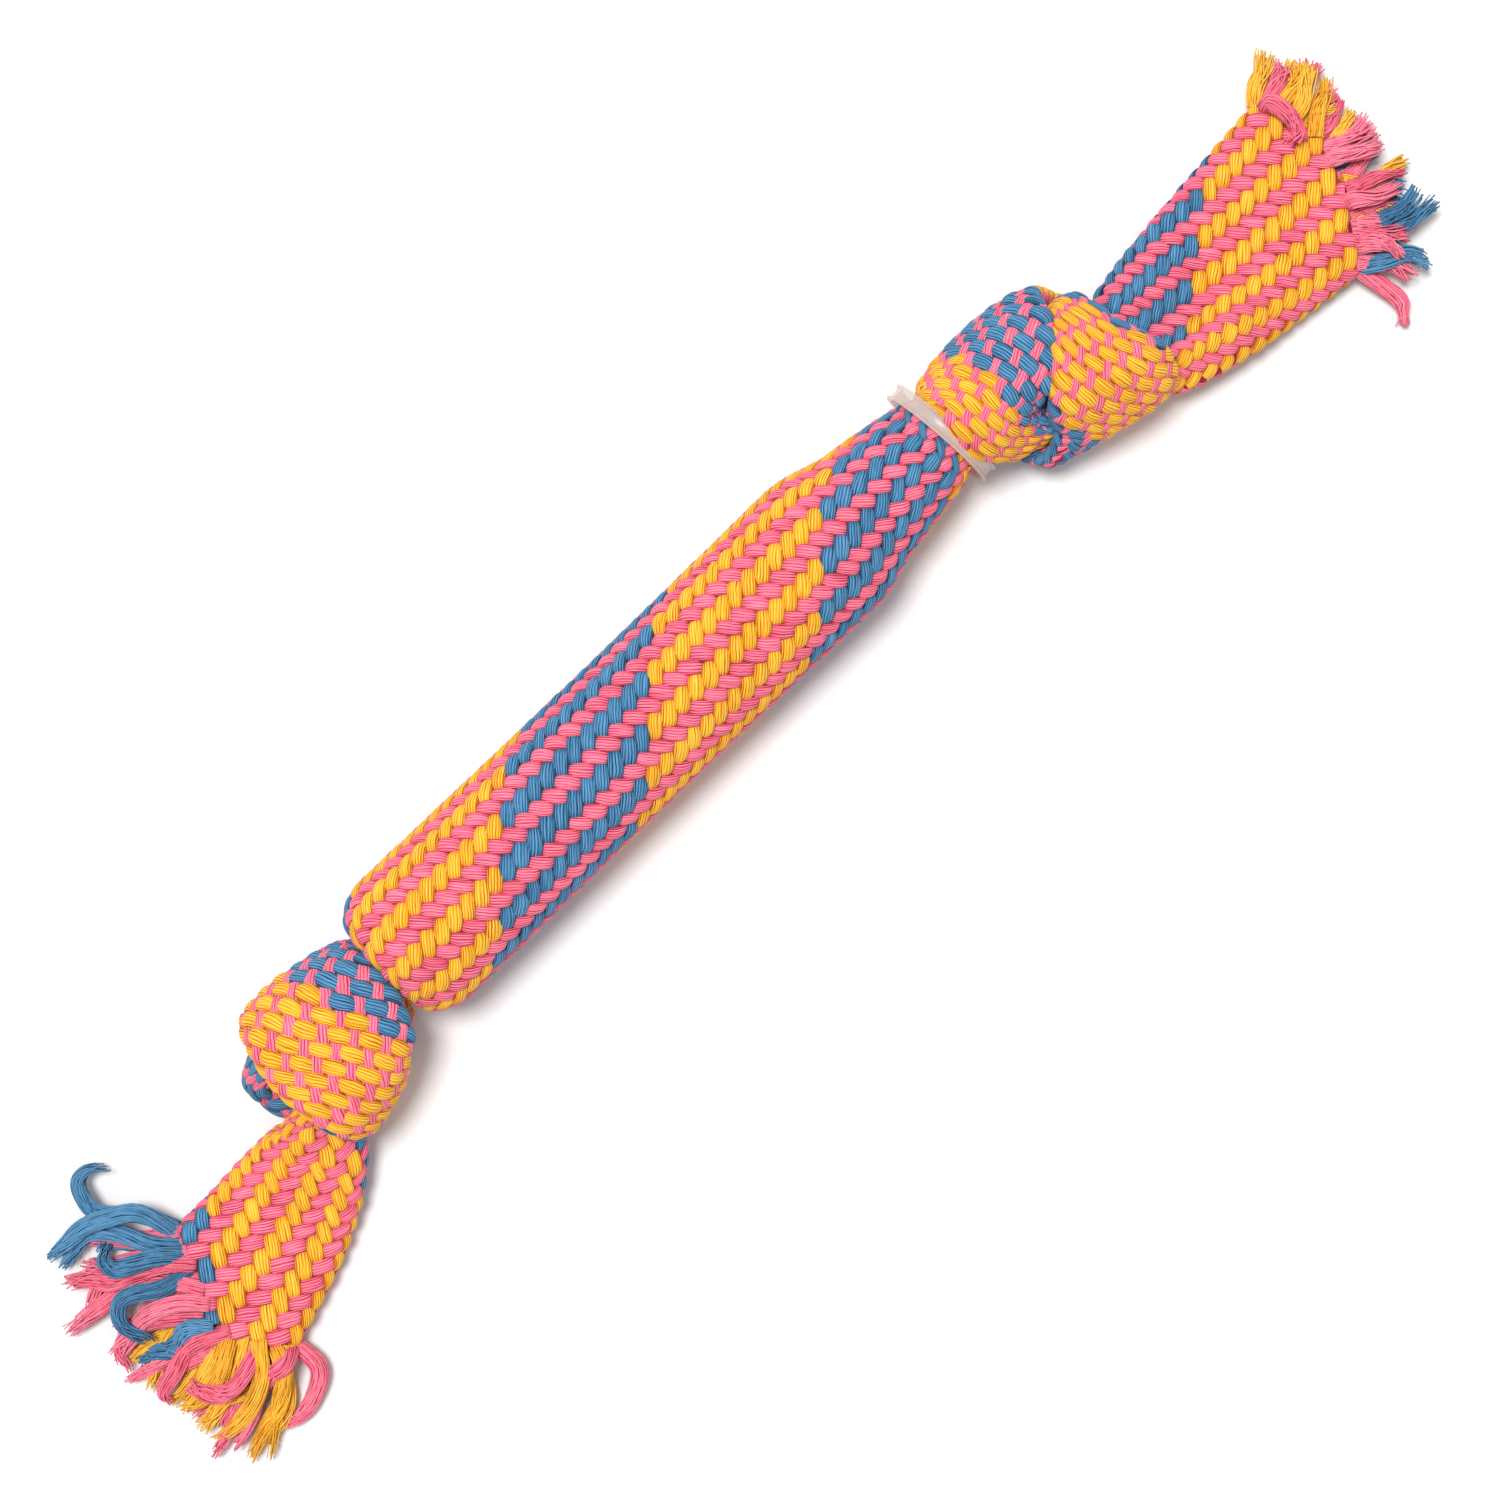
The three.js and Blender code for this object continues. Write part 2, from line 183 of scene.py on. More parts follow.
def catmull(rows, shares):
    """Values of a smooth curve through rows at shares of its length, with straight ends."""
    rows = np.asarray(rows, float)
    padded = np.vstack([2 * rows[0] - rows[1], rows, 2 * rows[-1] - rows[-2]])
    place = np.clip(np.asarray(shares) * (len(rows) - 1), 0, len(rows) - 1 - 1e-9)
    at = place.astype(int)
    t = (place - at)[:, None]
    p0, p1, p2, p3 = (padded[at + step] for step in range(4))
    m1, m2 = 0.5 * (p2 - p0), 0.5 * (p3 - p1)
    return (
        (2 * t**3 - 3 * t**2 + 1) * p1
        + (t**3 - 2 * t**2 + t) * m1
        + (-2 * t**3 + 3 * t**2) * p2
        + (t**3 - t**2) * m2
    )


def unit(vectors):
    return vectors / np.maximum(np.linalg.norm(vectors, axis=-1, keepdims=True), 1e-12)


def length_along(path):
    return np.concatenate([[0], np.cumsum(np.linalg.norm(np.diff(path, axis=0), axis=1))])


def revolved(x, radius, angle):
    """Points at places and radii along X and at angles from the top round it."""
    x, radius = x[:, None], radius[:, None]
    return np.stack([x + 0 * angle, radius * np.sin(angle), radius * np.cos(angle)], -1)


def oval(width, thickness, bow, density, roll):
    """Points round an oval from the middle of its outer side, spaced for the strands that pass there."""
    fine = np.linspace(0, 2 * np.pi, FINE_ROUND)
    angle = np.pi / 2 - fine
    across = np.sign(np.cos(angle)) * np.abs(np.cos(angle)) ** OVAL_FULLNESS
    out = np.sign(np.sin(angle)) * np.abs(np.sin(angle)) ** OVAL_FULLNESS
    ridge = np.exp(-(((across + ROLL_PLACE) / ROLL_WIDTH) ** 2))
    ridge = ridge - ROLL_HOLLOW * np.exp(-((across / ROLL_WIDTH) ** 2))
    points = np.stack([width / 2 * across, thickness / 2 * out - bow * across**2 - roll * ridge], 1)
    steps = np.linalg.norm(np.diff(points, axis=0), axis=1)
    crowding = 1 + density * (out[1:] + out[:-1]) / 2
    walked = np.concatenate([[0], np.cumsum(steps * crowding)])
    wanted = np.arange(ROUND) / ROUND * walked[-1]
    place = np.stack([np.interp(wanted, walked, points[:, axis]) for axis in (0, 1)], 1)
    return place, steps.sum()


def route_region(letter):
    """Surface rings along a route, the length round each, the strands' run, tightness and freedom there, and
    the centres."""
    shares = np.linspace(0, 1, RINGS)
    found = catmull(ROUTES[letter], shares)
    centres, section, run, roll = found[:, :3], found[:, 4:7], found[:, 7], found[:, 9]
    turn, slew = np.radians(found[:, 3]), np.radians(found[:, 8])
    ahead = unit(np.gradient(centres, axis=0))
    outward = np.stack([-np.sin(slew) * np.sin(turn), np.cos(slew) * np.sin(turn), np.cos(turn)], 1)
    outward = unit(outward - ahead * np.sum(outward * ahead, 1, keepdims=True))
    sideways = np.cross(ahead, outward)
    row = shares * LAST_ROW
    tight = np.clip((TIED_ROWS - row) / SLACKEN_ROWS, 0, 1) * np.clip(row / TIGHTEN_ROWS, 0, 1)
    free = np.clip((row - TIED_ROWS) / FREE_ROWS, 0, 1)
    grid, girth = [], []
    for at in range(RINGS):
        leaving = TUCKED[letter] * np.interp(row[at], *TUCK)
        flat, length = oval(*section[at], CROWDING * tight[at] - leaving, roll[at])
        grid.append(centres[at] + flat[:, :1] * sideways[at] + flat[:, 1:] * outward[at])
        girth.append(length)
    return np.array(grid), np.array(girth), run, tight, free, centres


def body_profile():
    """The middle of the sleeve as [x, radius] points from knot a to knot b."""
    points = [[-NECK_END_A, ENTRY_RADIUS], [-(NECK_END_A + BODY_REACH_A) / 2, THROAT_RADIUS_A]]
    for share in np.linspace(0, 1, CURVE_POINTS):
        angle = share * np.pi / 2
        x = -BODY_REACH_A + END_ROUNDING * (1 - math.cos(angle))
        points.append([x, NECK_RADIUS_A + (BODY_RADIUS - NECK_RADIUS_A) * math.sin(angle)])
    start = -BODY_REACH_A + END_ROUNDING
    for share in np.linspace(0, 1, MIDDLE_POINTS)[1:-1]:
        x = start + share * (TAPER_START - start)
        points.append([x, BODY_RADIUS - BODY_WAIST * math.sin(share * np.pi)])
    for share in np.linspace(0, 1, CURVE_POINTS):
        drop = (0.5 - 0.5 * math.cos(share * np.pi)) * (BODY_RADIUS - COLLAR_RADIUS)
        points.append([TAPER_START + share * (TAPER_END - TAPER_START), BODY_RADIUS - drop])
    return np.array(points + COLLAR + [[NECK_END_B, ENTRY_RADIUS]])


def body_region():
    """The same as route_region for the body and its necks."""
    profile = body_profile()
    walked = length_along(profile)
    wanted = np.linspace(0, walked[-1], RINGS)
    x = np.interp(wanted, walked, profile[:, 0])
    radius = np.interp(wanted, walked, profile[:, 1])
    share = np.arange(ROUND) / ROUND
    # the outer side turns from each knot's entry to the top of the body
    entry = np.interp(x, [-NECK_END_A, -BODY_REACH_A, BODY_REACH_B, NECK_END_B], [1, 0, 0, 1])
    angle = 2 * np.pi * (share[None, :] + ENTRY_TURN * entry[:, None])
    bends = [-NECK_END_A, -BODY_REACH_A + SINK_LENGTH, BODY_REACH_B - SINK_LENGTH, NECK_END_B]
    drop_a, drop_b = (route[0][2] - AXIS_HEIGHT for route in (ROUTE_A, ROUTE_B))
    lift = np.interp(x, bends, [drop_a, 0, 0, drop_b])
    grid = revolved(x, radius, angle)
    grid[..., 2] += (AXIS_HEIGHT + lift)[:, None]
    run = np.full(len(x), STRAND_RUN)
    return grid, 2 * np.pi * radius, run, 0 * x, 0 * x, np.stack([x, 0 * x, AXIS_HEIGHT + lift], 1)


class Sleeve:
    """The whole sleeve's outer surface from the free end of tail a to that of tail b."""

    def __init__(self):
        region_a = [value[::-1] for value in route_region("a")]
        region_b = list(route_region("b"))
        region_b[0] = np.roll(region_b[0][:, ::-1], 1, axis=1)  # its rings run the other way round
        regions = zip(region_a, body_region(), region_b)
        joined = [np.concatenate([a, body[1:], b[1:]]) for a, body, b in regions]
        # the first and last ring of each region, of which the later two share a ring with the one before
        joins = RINGS - 1, 2 * RINGS - 2, 3 * RINGS - 3
        self.span = {"a": (0, joins[0]), "body": (joins[0] + 1, joins[1]), "b": (joins[1] + 1, joins[2])}
        self.grid, girth, run, self.tight, self.free, self.centres = joined
        steps = np.linalg.norm(np.diff(self.grid, axis=0), axis=2).mean(1)
        self.walked = np.concatenate([[0], np.cumsum(steps)])
        around = np.roll(self.grid, -1, 1) - np.roll(self.grid, 1, 1)
        along = np.gradient(self.grid, axis=0)
        facing = np.cross(along, around)
        usual = np.linalg.norm(facing, axis=2).mean(1)
        in_section = unit(np.cross(unit(np.gradient(self.centres, axis=0))[:, None], around))
        self.normals = unit(facing + (STEADY * self.tight * usual)[:, None, None] * in_section)
        gap = np.minimum(girth / PER_WAY, STEEPEST * run)
        pick = np.sqrt(run**2 - gap**2)
        turns = np.concatenate([[0], np.cumsum(np.diff(self.walked) * 2 / (pick[1:] + pick[:-1]))])
        first, last = self.span["body"]
        middle = np.interp(PATTERN_START, self.centres[first : last + 1, 0], turns[first : last + 1])
        self.turns = turns - middle
        self.twist = np.zeros(len(self.walked))

    def on_body(self, x):
        """Station number, with a fraction, where the body or a neck reaches x."""
        first, last = self.span["body"]
        return float(np.interp(x, self.centres[first : last + 1, 0], np.arange(first, last + 1)))

    def on_route(self, letter, row):
        """Station number at a row of a route, with a fraction."""
        first, last = self.span[letter]
        share = row / LAST_ROW
        return last - share * (last - first) if letter == "a" else first + share * (last - first)

    def turn(self, station):
        """Turns of the braid at a station, from the pattern's start."""
        return float(np.interp(station, np.arange(len(self.turns)), self.turns))

    @staticmethod
    def at(table, stations, shares):
        """Smooth lookup of a table of rings at stations and shares of the way round."""
        low = np.clip(stations.astype(int), 0, len(table) - 2)
        f = (stations - low)[:, None]
        place = (shares % 1.0) * ROUND
        left = place.astype(int) % ROUND
        g = (place - np.floor(place))[:, None]
        right = (left + 1) % ROUND
        near = table[low, left] * (1 - g) + table[low, right] * g
        far = table[low + 1, left] * (1 - g) + table[low + 1, right] * g
        return near * (1 - f) + far * f


sleeve = Sleeve()

SIDES = 12  # points round a strand
PER_TURN = 10  # rings of a strand from one crossing of a kind to the next
LEAST_RINGS = 4
HEADING_STEP = 0.03  # turns to each side that give a strand's heading
CUT_STEPS = 300  # places where a strand's cut is looked for
TWIST_BLUR = 41  # stations over which the twist is smoothed
WAVE_SHARPNESS = 2
WAVE_START = -0.5  # where strand 0 starts in its wave, in quarter waves
STRAND_AREA = 2.6  # half width times half thickness, in square millimetres
GAP_SHARE = 0.55  # half width as a share of the way to the next strand
GAP_SHARE_IN_KNOT = 0.1  # how much that grows in a knot
HALF_WIDTHS = (0.9, 2.5)  # least and most
HALF_THICKS = (1.05, 1.5)
SWING = 1.25  # how far a strand rises and dives, in half thicknesses
PROUD = 0.5  # how far the strands stand out of the solid's surface
SLANT_IN_KNOT = 0.6  # how much steeper a strand lies where it shows in a tight knot
SLIM_ENDS = 0.13  # how much a strand narrows to its dive
SLIMMER_IN_KNOT = {-1: 0.28, 1: 0.36}  # more in a knot, for pink and for the others
UNEVEN_PLACE = 0.05  # how far a strand strays to the side, in strand spacings
UNEVEN_WIDTH = 0.04
UNEVEN_HEIGHT = 0.08
UNEVEN_RATES = (0.23, 0.61, 1.07)  # waves of unevenness in two turns of the braid
UNEVEN_MIX = (12.9898, 7.233, 3.7, 43.7)  # scatters the waves by strand, by wave, by way and in all
# For the two ways round the sleeve, -1 for pink and 1 for the others: in all, more in a knot, more in a tail
LEAN = {-1: (-0.1, 0, 0), 1: (-0.03, 0.06, -0.07)}  # how much longer a strand lies over the others than under
WIDER = {-1: (0, 0.26, 0.04), 1: (0.06, 0.16, 0)}  # how much wider a strand lies
PROUDER = {-1: (-0.05, -0.12, -0.05), 1: (0.05, 0.12, 0.05)}  # how far a strand stands out more
# Where each tail's braid ends: places in Y, and the X of the end there
TAIL_CUTS = {
    "a": ([-59, -52, -37, -25, -9], [-184, -190, -198, -191, -187]),
    "b": ([-49, -34, -27, -13, 7], [218, 227, 232, 236, 230]),
}


def uneven(numbers, way, turn, salt):
    """Smooth repeatable unevenness along each strand, between about -1 and 1."""
    by_strand, by_wave, by_way, scatter = UNEVEN_MIX
    total = 0
    for wave_number, rate in enumerate(UNEVEN_RATES):
        phase = by_strand * numbers + by_wave * wave_number + by_way * way + salt
        total = total + np.sin(np.pi * rate * turn + scatter * np.sin(phase))
    return total / 2


def strand_lines(way, indices, turns):
    """Middle, normal, spacing, wave, tightness, freedom and unevenness of strands at turns of the braid."""
    shape = (len(indices), turns.shape[-1])
    numbers = np.repeat(np.asarray(indices, float)[:, None], shape[1], 1).ravel()
    turn = np.broadcast_to(turns, shape).ravel()
    stations = np.interp(turn, sleeve.turns, np.arange(len(sleeve.turns)))
    tables = sleeve.twist, sleeve.tight, sleeve.free
    twist, tight, free = (np.interp(stations, np.arange(len(table)), table) for table in tables)
    phase = (2 * numbers + 2 * way * turn + WAVE_START) * np.pi / 2
    slant = -way * SLANT_IN_KNOT * tight * np.sin(phase) / np.pi
    stray = UNEVEN_PLACE * uneven(numbers, way, turn, salt=0.0)
    share = (numbers + way * turn + slant + stray) / PER_WAY + twist
    surface = sleeve.at(sleeve.grid, stations, share)
    normal = unit(sleeve.at(sleeve.normals, stations, share))
    half = 0.5 / PER_WAY
    spacing = sleeve.at(sleeve.grid, stations, share + half) - sleeve.at(sleeve.grid, stations, share - half)
    swell = -way * np.cos(phase)
    plump = uneven(numbers, way, turn, salt=1.7)
    values = (surface, normal, spacing, swell, tight, free, plump)
    return tuple(value.reshape(*shape, -1) for value in values)


def tube_rings(path, across, up, count):
    """Rings of points round a path, from half widths across and half thicknesses upwards."""
    angles = 2 * np.pi * np.arange(count) / count
    wide = across[..., None, :] * np.cos(angles)[:, None]
    return path[..., None, :] + wide + up[..., None, :] * np.sin(angles)[:, None]


def strand_rings(way, indices, first, last):
    """Rings round strands from one turn of the braid to another, their middles, lengths along and heights."""
    first, last = (np.broadcast_to(value, len(indices)) for value in (first, last))
    count = max(LEAST_RINGS, int(round(np.max(last - first) * PER_TURN)) + 1)
    turns = np.linspace(first, last, count, axis=1)
    surface, normal, spacing, swell, tight, free, plump = strand_lines(way, indices, turns)
    lean, wider, prouder = (
        in_all + in_knot * tight + in_tail * free
        for in_all, in_knot, in_tail in (LEAN[way], WIDER[way], PROUDER[way])
    )
    wave = np.tanh(WAVE_SHARPNESS * (swell + lean)) / math.tanh(WAVE_SHARPNESS)
    before, after = (strand_lines(way, indices, turns + step)[0] for step in (-HEADING_STEP, HEADING_STEP))
    ahead = unit(after - before)
    gap = np.linalg.norm(spacing - ahead * np.sum(spacing * ahead, -1, keepdims=True), axis=-1, keepdims=True)
    half_width = np.clip(GAP_SHARE * gap * (1 + GAP_SHARE_IN_KNOT * tight), *HALF_WIDTHS)
    half_thick = np.clip(STRAND_AREA / half_width, *HALF_THICKS)
    pointed = np.arcsin(np.clip(swell, -1, 1)) * 2 / np.pi
    taper = swell + (pointed - swell) * tight
    slim = SLIM_ENDS + SLIMMER_IN_KNOT[way] * tight
    half_width = half_width * (1 + slim * taper) * (1 + UNEVEN_WIDTH * plump) * (1 + wider)
    swing = SWING * half_thick
    middle = surface - normal * (swing + half_thick - PROUD - prouder) + normal * swing * wave
    middle = middle + normal * (UNEVEN_HEIGHT * plump)
    tangent = unit(np.gradient(middle, axis=1))
    side = unit(np.cross(normal, tangent))
    up = np.cross(tangent, side)
    points = tube_rings(middle, half_width * side, half_thick * up, SIDES)
    steps = np.linalg.norm(np.diff(middle, axis=1), axis=-1)
    walked = np.concatenate([np.zeros((len(indices), 1)), np.cumsum(steps, 1)], 1)
    return points, middle, walked + turns[:, :1] * STRAND_RUN, wave[..., 0]


def cut_ends(letter, way, indices, first, last):
    """Turns of the braid between which the strands of a tail run, up to the uneven cut of its end."""
    turns = np.linspace(first, last, CUT_STEPS)[:: 1 if letter == "a" else -1]
    places = strand_lines(way, indices, turns)[0]
    edge = np.interp(places[..., 1], *TAIL_CUTS[letter])
    cut = turns[np.argmax(np.abs(places[..., 0]) < np.abs(edge), axis=1)]
    return (cut, last) if letter == "a" else (first, cut)


def add_object(name, data):
    made = bpy.data.objects.new(name, data)
    bpy.context.scene.collection.objects.link(made)
    return made


def tube_mesh(name, points, walked, tones, heights):
    """One mesh of closed tubes from rings in millimetres, with a map along and round each tube."""
    tubes, rings_each, sides, _ = points.shape
    ring = np.arange(tubes * rings_each).reshape(tubes, rings_each)[:, :-1, None] * sides
    side = np.arange(sides)
    corner = ring + side
    beside = ring + (side + 1) % sides
    quads = np.stack([corner, beside, beside + sides, corner + sides], -1).reshape(-1, 4)
    starts = np.arange(tubes)[:, None] * rings_each * sides
    first_caps = (starts + side[::-1]).tolist()
    last_caps = (starts + (rings_each - 1) * sides + side).tolist()
    mesh = bpy.data.meshes.new(name)
    mesh.from_pydata((points.reshape(-1, 3) * MM).tolist(), [], quads.tolist() + first_caps + last_caps)
    smooth = np.zeros(len(mesh.polygons), bool)
    smooth[: len(quads)] = True
    mesh.polygons.foreach_set("use_smooth", smooth)
    near, far = walked[:, :-1, None], walked[:, 1:, None]
    here, there = side / sides, side / sides + 1 / sides
    corners = ((near, here), (near, there), (far, there), (far, here))
    quad_map = np.stack([np.stack(np.broadcast_arrays(*pair), -1) for pair in corners], -2).reshape(-1, 2)
    cap_map = np.zeros((2 * tubes * sides, 2))
    layer = mesh.uv_layers.new(name="yarn")
    layer.uv.foreach_set("vector", np.concatenate([quad_map, cap_map]).astype(np.float32).ravel())
    for label, values in (("tone", np.repeat(tones, rings_each)), ("height", heights.ravel())):
        attribute = mesh.attributes.new(label, "FLOAT", "POINT")
        attribute.data.foreach_set("value", np.repeat(values, sides).astype(np.float32))
    return add_object(name, mesh)


# The way of each colour's strands round the sleeve, and their numbers
COLOURS = {
    "pink": (-1, list(range(PER_WAY))),
    "blue": (1, list(range(1, 12))),
    "yellow": (1, list(range(12, 25))),
}
TONES = {colour: rng.uniform(0, 1, len(numbers)) for colour, (way, numbers) in COLOURS.items()}


def linear(red, green, blue):
    """A colour from its screen values."""
    values = np.array([red, green, blue]) / 255
    return tuple(np.where(values <= 0.04045, values / 12.92, ((values + 0.055) / 1.055) ** 2.4)) + (1.0,)


# Dark, middle and light of each yarn; besides tone, dark paints shade in dives, sides and grooves, light
# paints fibre highlights
SHADES = {
    "pink": (linear(150, 20, 46), linear(246, 98, 126), linear(255, 144, 168)),
    "yellow": (linear(170, 76, 0), linear(248, 172, 30), linear(255, 206, 76)),
    "blue": (linear(6, 36, 66), linear(56, 112, 154), linear(98, 156, 196)),
}


def set_inputs(tree, node, inputs):
    """Sets a node's inputs to values, or links them where a socket is given."""
    for key, value in inputs.items():
        if isinstance(value, bpy.types.NodeSocket):
            tree.links.new(value, node.inputs[key])
        else:
            node.inputs[key].default_value = value
    return node


def add_node(tree, kind, inputs):
    return set_inputs(tree, tree.nodes.new(kind), inputs)


def math_node(tree, operation, *values):
    """The result of a math node whose inputs are numbers or sockets."""
    node = tree.nodes.new("ShaderNodeMath")
    node.operation = operation
    return set_inputs(tree, node, dict(enumerate(values))).outputs[0]


def colour_ramp(tree, factor, first, last):
    ramp = add_node(tree, "ShaderNodeValToRGB", {"Fac": factor})
    ramp.color_ramp.elements[0].color = first
    ramp.color_ramp.elements[1].color = last
    return ramp


def new_material(name, inputs):
    """A material, its node tree and its shader with the given inputs."""
    material = bpy.data.materials.new(name)
    material.use_nodes = True
    tree = material.node_tree
    return material, tree, set_inputs(tree, tree.nodes["Principled BSDF"], inputs)


def noise(tree, settings, place=None):
    """Noise at a place that a socket gives, or else in the object's own space."""
    place = place or tree.nodes.new("ShaderNodeTexCoord").outputs["Object"]
    return add_node(tree, "ShaderNodeTexNoise", {"Vector": place, **settings}).outputs["Fac"]


# Yarn
YARN_SURFACE = {"Roughness": 0.85, "Sheen Weight": 0.05, "Sheen Roughness": 0.5, "Specular IOR Level": 0.3}
WOBBLE = 1.6  # how far the fibres wander to the side, in fibres
WOBBLE_PLACE = (1, 9, 57)  # how fast that changes along a strand, round it and by its tone
WOBBLE_NOISE = {"Scale": 0.22, "Detail": 2}
STREAK = 2  # strength of the streaks between the fibres, and their level
STREAK_LEVEL = -1.02
STREAK_PLACE = (0.16, 3.1, 91)  # the same for the streaks, round it for each fibre
STREAK_NOISE = {"Scale": 1, "Detail": 3}
FIBRE_POWER = 0.8
FIBRE_LEVEL = 0.8
FIBRE_BUMP = {"Strength": 0.5, "Distance": 0.00025}
DIVE_SHADE = {"From Min": -0.6, "From Max": 0.95, "To Min": -0.7, "To Max": 0}  # painted shade: darker as a strand goes under another
UNDERSIDE_SHADE = {"From Min": 0.8, "From Max": -0.1}  # painted shade, from a strand's crest to its sides and lower side
MIDDLE_SHADE = 0.6


def yarn_material(name, colour, fibres, lay, contrast, tone_share, edge):
    """Soft yarn with fibres along it, with painted shade in the grooves between them, where it dives under
    another and on its sides.
    """
    dark, middle, light = SHADES[colour]
    material, tree, shader = new_material(name, YARN_SURFACE)

    def calc(operation, *values):
        return math_node(tree, operation, *values)

    def attribute(attribute_name):
        node = tree.nodes.new("ShaderNodeAttribute")
        node.attribute_name = attribute_name
        return node.outputs["Fac"]

    def scaled(*scales):
        parts = [calc("MULTIPLY", value, scale) for value, scale in zip((along, around, tone), scales)]
        return add_node(tree, "ShaderNodeCombineXYZ", dict(enumerate(parts))).outputs[0]

    uv = tree.nodes.new("ShaderNodeUVMap")
    uv.uv_map = "yarn"
    apart = add_node(tree, "ShaderNodeSeparateXYZ", {0: uv.outputs["UV"]})
    along, around = apart.outputs["X"], apart.outputs["Y"]
    tone, height = attribute("tone"), attribute("height")
    streak_along, streak_around, streak_by_tone = STREAK_PLACE
    wobble = noise(tree, WOBBLE_NOISE, scaled(*WOBBLE_PLACE))
    streak = noise(tree, STREAK_NOISE, scaled(streak_along, streak_around * fibres, streak_by_tone))
    line = calc("MULTIPLY_ADD", around, fibres, calc("MULTIPLY", along, lay))
    line = calc("MULTIPLY_ADD", wobble, WOBBLE, line)
    wave = calc("SINE", calc("MULTIPLY", line, 2 * math.pi))
    # fibre ridges: painted shade in the grooves between fibres and painted highlight on their crests; they
    # also give the bump
    ridge = calc("POWER", calc("MULTIPLY_ADD", wave, 0.5, 0.5), FIBRE_POWER)
    ridge = calc("MULTIPLY_ADD", ridge, contrast, FIBRE_LEVEL * (1 - contrast))
    fibre = calc("ADD", ridge, calc("MULTIPLY_ADD", streak, STREAK, STREAK_LEVEL))
    # painted shade where the strand dives under another
    dive = add_node(tree, "ShaderNodeMapRange", {"Value": height, **DIVE_SHADE})
    # painted shade on the strand's sides and lower side
    crest = calc("SINE", calc("MULTIPLY", around, 2 * math.pi))
    below = add_node(tree, "ShaderNodeMapRange", {"Value": crest, **UNDERSIDE_SHADE})
    shade = calc("ADD", fibre, dive.outputs[0])
    shade = calc("MULTIPLY_ADD", below.outputs[0], -edge, shade)
    shade = calc("MULTIPLY_ADD", tone, tone_share, shade)
    ramp = colour_ramp(tree, shade, dark, light)
    ramp.color_ramp.elements.new(MIDDLE_SHADE).color = middle
    bump = add_node(tree, "ShaderNodeBump", {"Height": fibre, **FIBRE_BUMP})
    set_inputs(tree, shader, {"Base Color": ramp.outputs["Color"], "Normal": bump.outputs["Normal"]})
    return material


# Fibres round a strand, how they twist along it, their contrast, how much tone changes the shade, and the
# painted shade on strand sides (edge)
YARN_KINDS = {
    "braid": {"fibres": 17, "lay": 0, "contrast": 0.72, "tone_share": 0.16, "edge": 1},
    "locks": {"fibres": 16, "lay": 0, "contrast": 1, "tone_share": 0.2, "edge": 0},
    "ends": {"fibres": 3, "lay": 0.2, "contrast": 0.5, "tone_share": 0.5, "edge": 0.25},
}
YARN = {
    (kind, colour): yarn_material(kind + "_" + colour, colour, **look)
    for kind, look in YARN_KINDS.items()
    for colour in COLOURS
}

# Lengths of the braid from tail a to tail b: the station where each starts, the nodes that its pink strands
# stand for, the body that it rides on or the two that it bends between, and the bend's first X, last X and Y
NECK_A_INNER = -102.4
NECK_A_SOFT = -98.2
NECK_B_SOFT = 107
NECK_B_INNER = 114.6
LENGTHS = [
    ("tail_a", sleeve.on_route("a", LAST_ROW), ["tail_a"], "knot_a", "tail_a", -141, -155, -13),
    ("knot_a", sleeve.on_route("a", TIED_ROWS), ["knot_a"], "neck_a", "knot_a", BEND_A, -116, 0),
    ("neck_a_inner", sleeve.on_body(NECK_A_INNER), [], "neck_a", "knot_a", BEND_A, -116, 0),
    ("neck_a_outer", sleeve.on_body(BEND_A), ["neck_a"], "body", "neck_a", NECK_A_SOFT, BEND_A, 0),
    ("body", sleeve.on_body(NECK_A_SOFT), ["body_sleeve", "neck_b"], "body"),
    ("neck_b_outer", sleeve.on_body(NECK_B_SOFT), ["throat_b"], "body", "neck_b", NECK_B_SOFT, BEND_B, 0),
    ("neck_b_inner", sleeve.on_body(BEND_B), [], "neck_b", "knot_b", BEND_B, 126, 0),
    ("knot_b", sleeve.on_body(NECK_B_INNER), ["knot_b"], "neck_b", "knot_b", BEND_B, 126, 0),
    ("tail_b", sleeve.on_route("b", TIED_ROWS), ["tail_b"], "knot_b", "tail_b", 161.2, 176, -20),
]
# How the braid turns inside the sleeve: a route, a row of it and the strand number on the outer middle there
TWIST_TARGETS = [
    ("a", 28.5, 23.6), ("a", 12, 21),
    ("b", 8, 19), ("b", 16, 23.9), ("b", 20, 22), ("b", 26.8, 11.9),
]
TAIL_B_SKEW = -2  # strand spacings that the braid turns on up to the row below
TAIL_B_SKEW_ROW = 28.6


def set_twist():
    """Turns the braid inside the sleeve's sections, as little as the targets allow."""
    controls = []
    for letter, row, number in TWIST_TARGETS:
        station = sleeve.on_route(letter, row)
        twist = -(number + sleeve.turn(station)) / PER_WAY
        controls.append((station, twist - round(twist + ENTRY_TURN)))
    skewed = controls[-1][1] + TAIL_B_SKEW / PER_WAY
    controls.append((sleeve.on_route("b", TAIL_B_SKEW_ROW), skewed))
    controls += [(sleeve.on_body(x), -ENTRY_TURN) for x in (-NECK_END_A, NECK_END_B)]
    controls += [(sleeve.on_body(x), 0.0) for x in (-BODY_REACH_A, BODY_REACH_B)]
    place = np.interp(np.arange(len(sleeve.walked)), *zip(*sorted(controls)))
    kernel = np.hanning(TWIST_BLUR + 2)[1:-1]
    padded = np.pad(place, TWIST_BLUR // 2, mode="edge")
    sleeve.twist = np.convolve(padded, kernel / kernel.sum(), "valid")


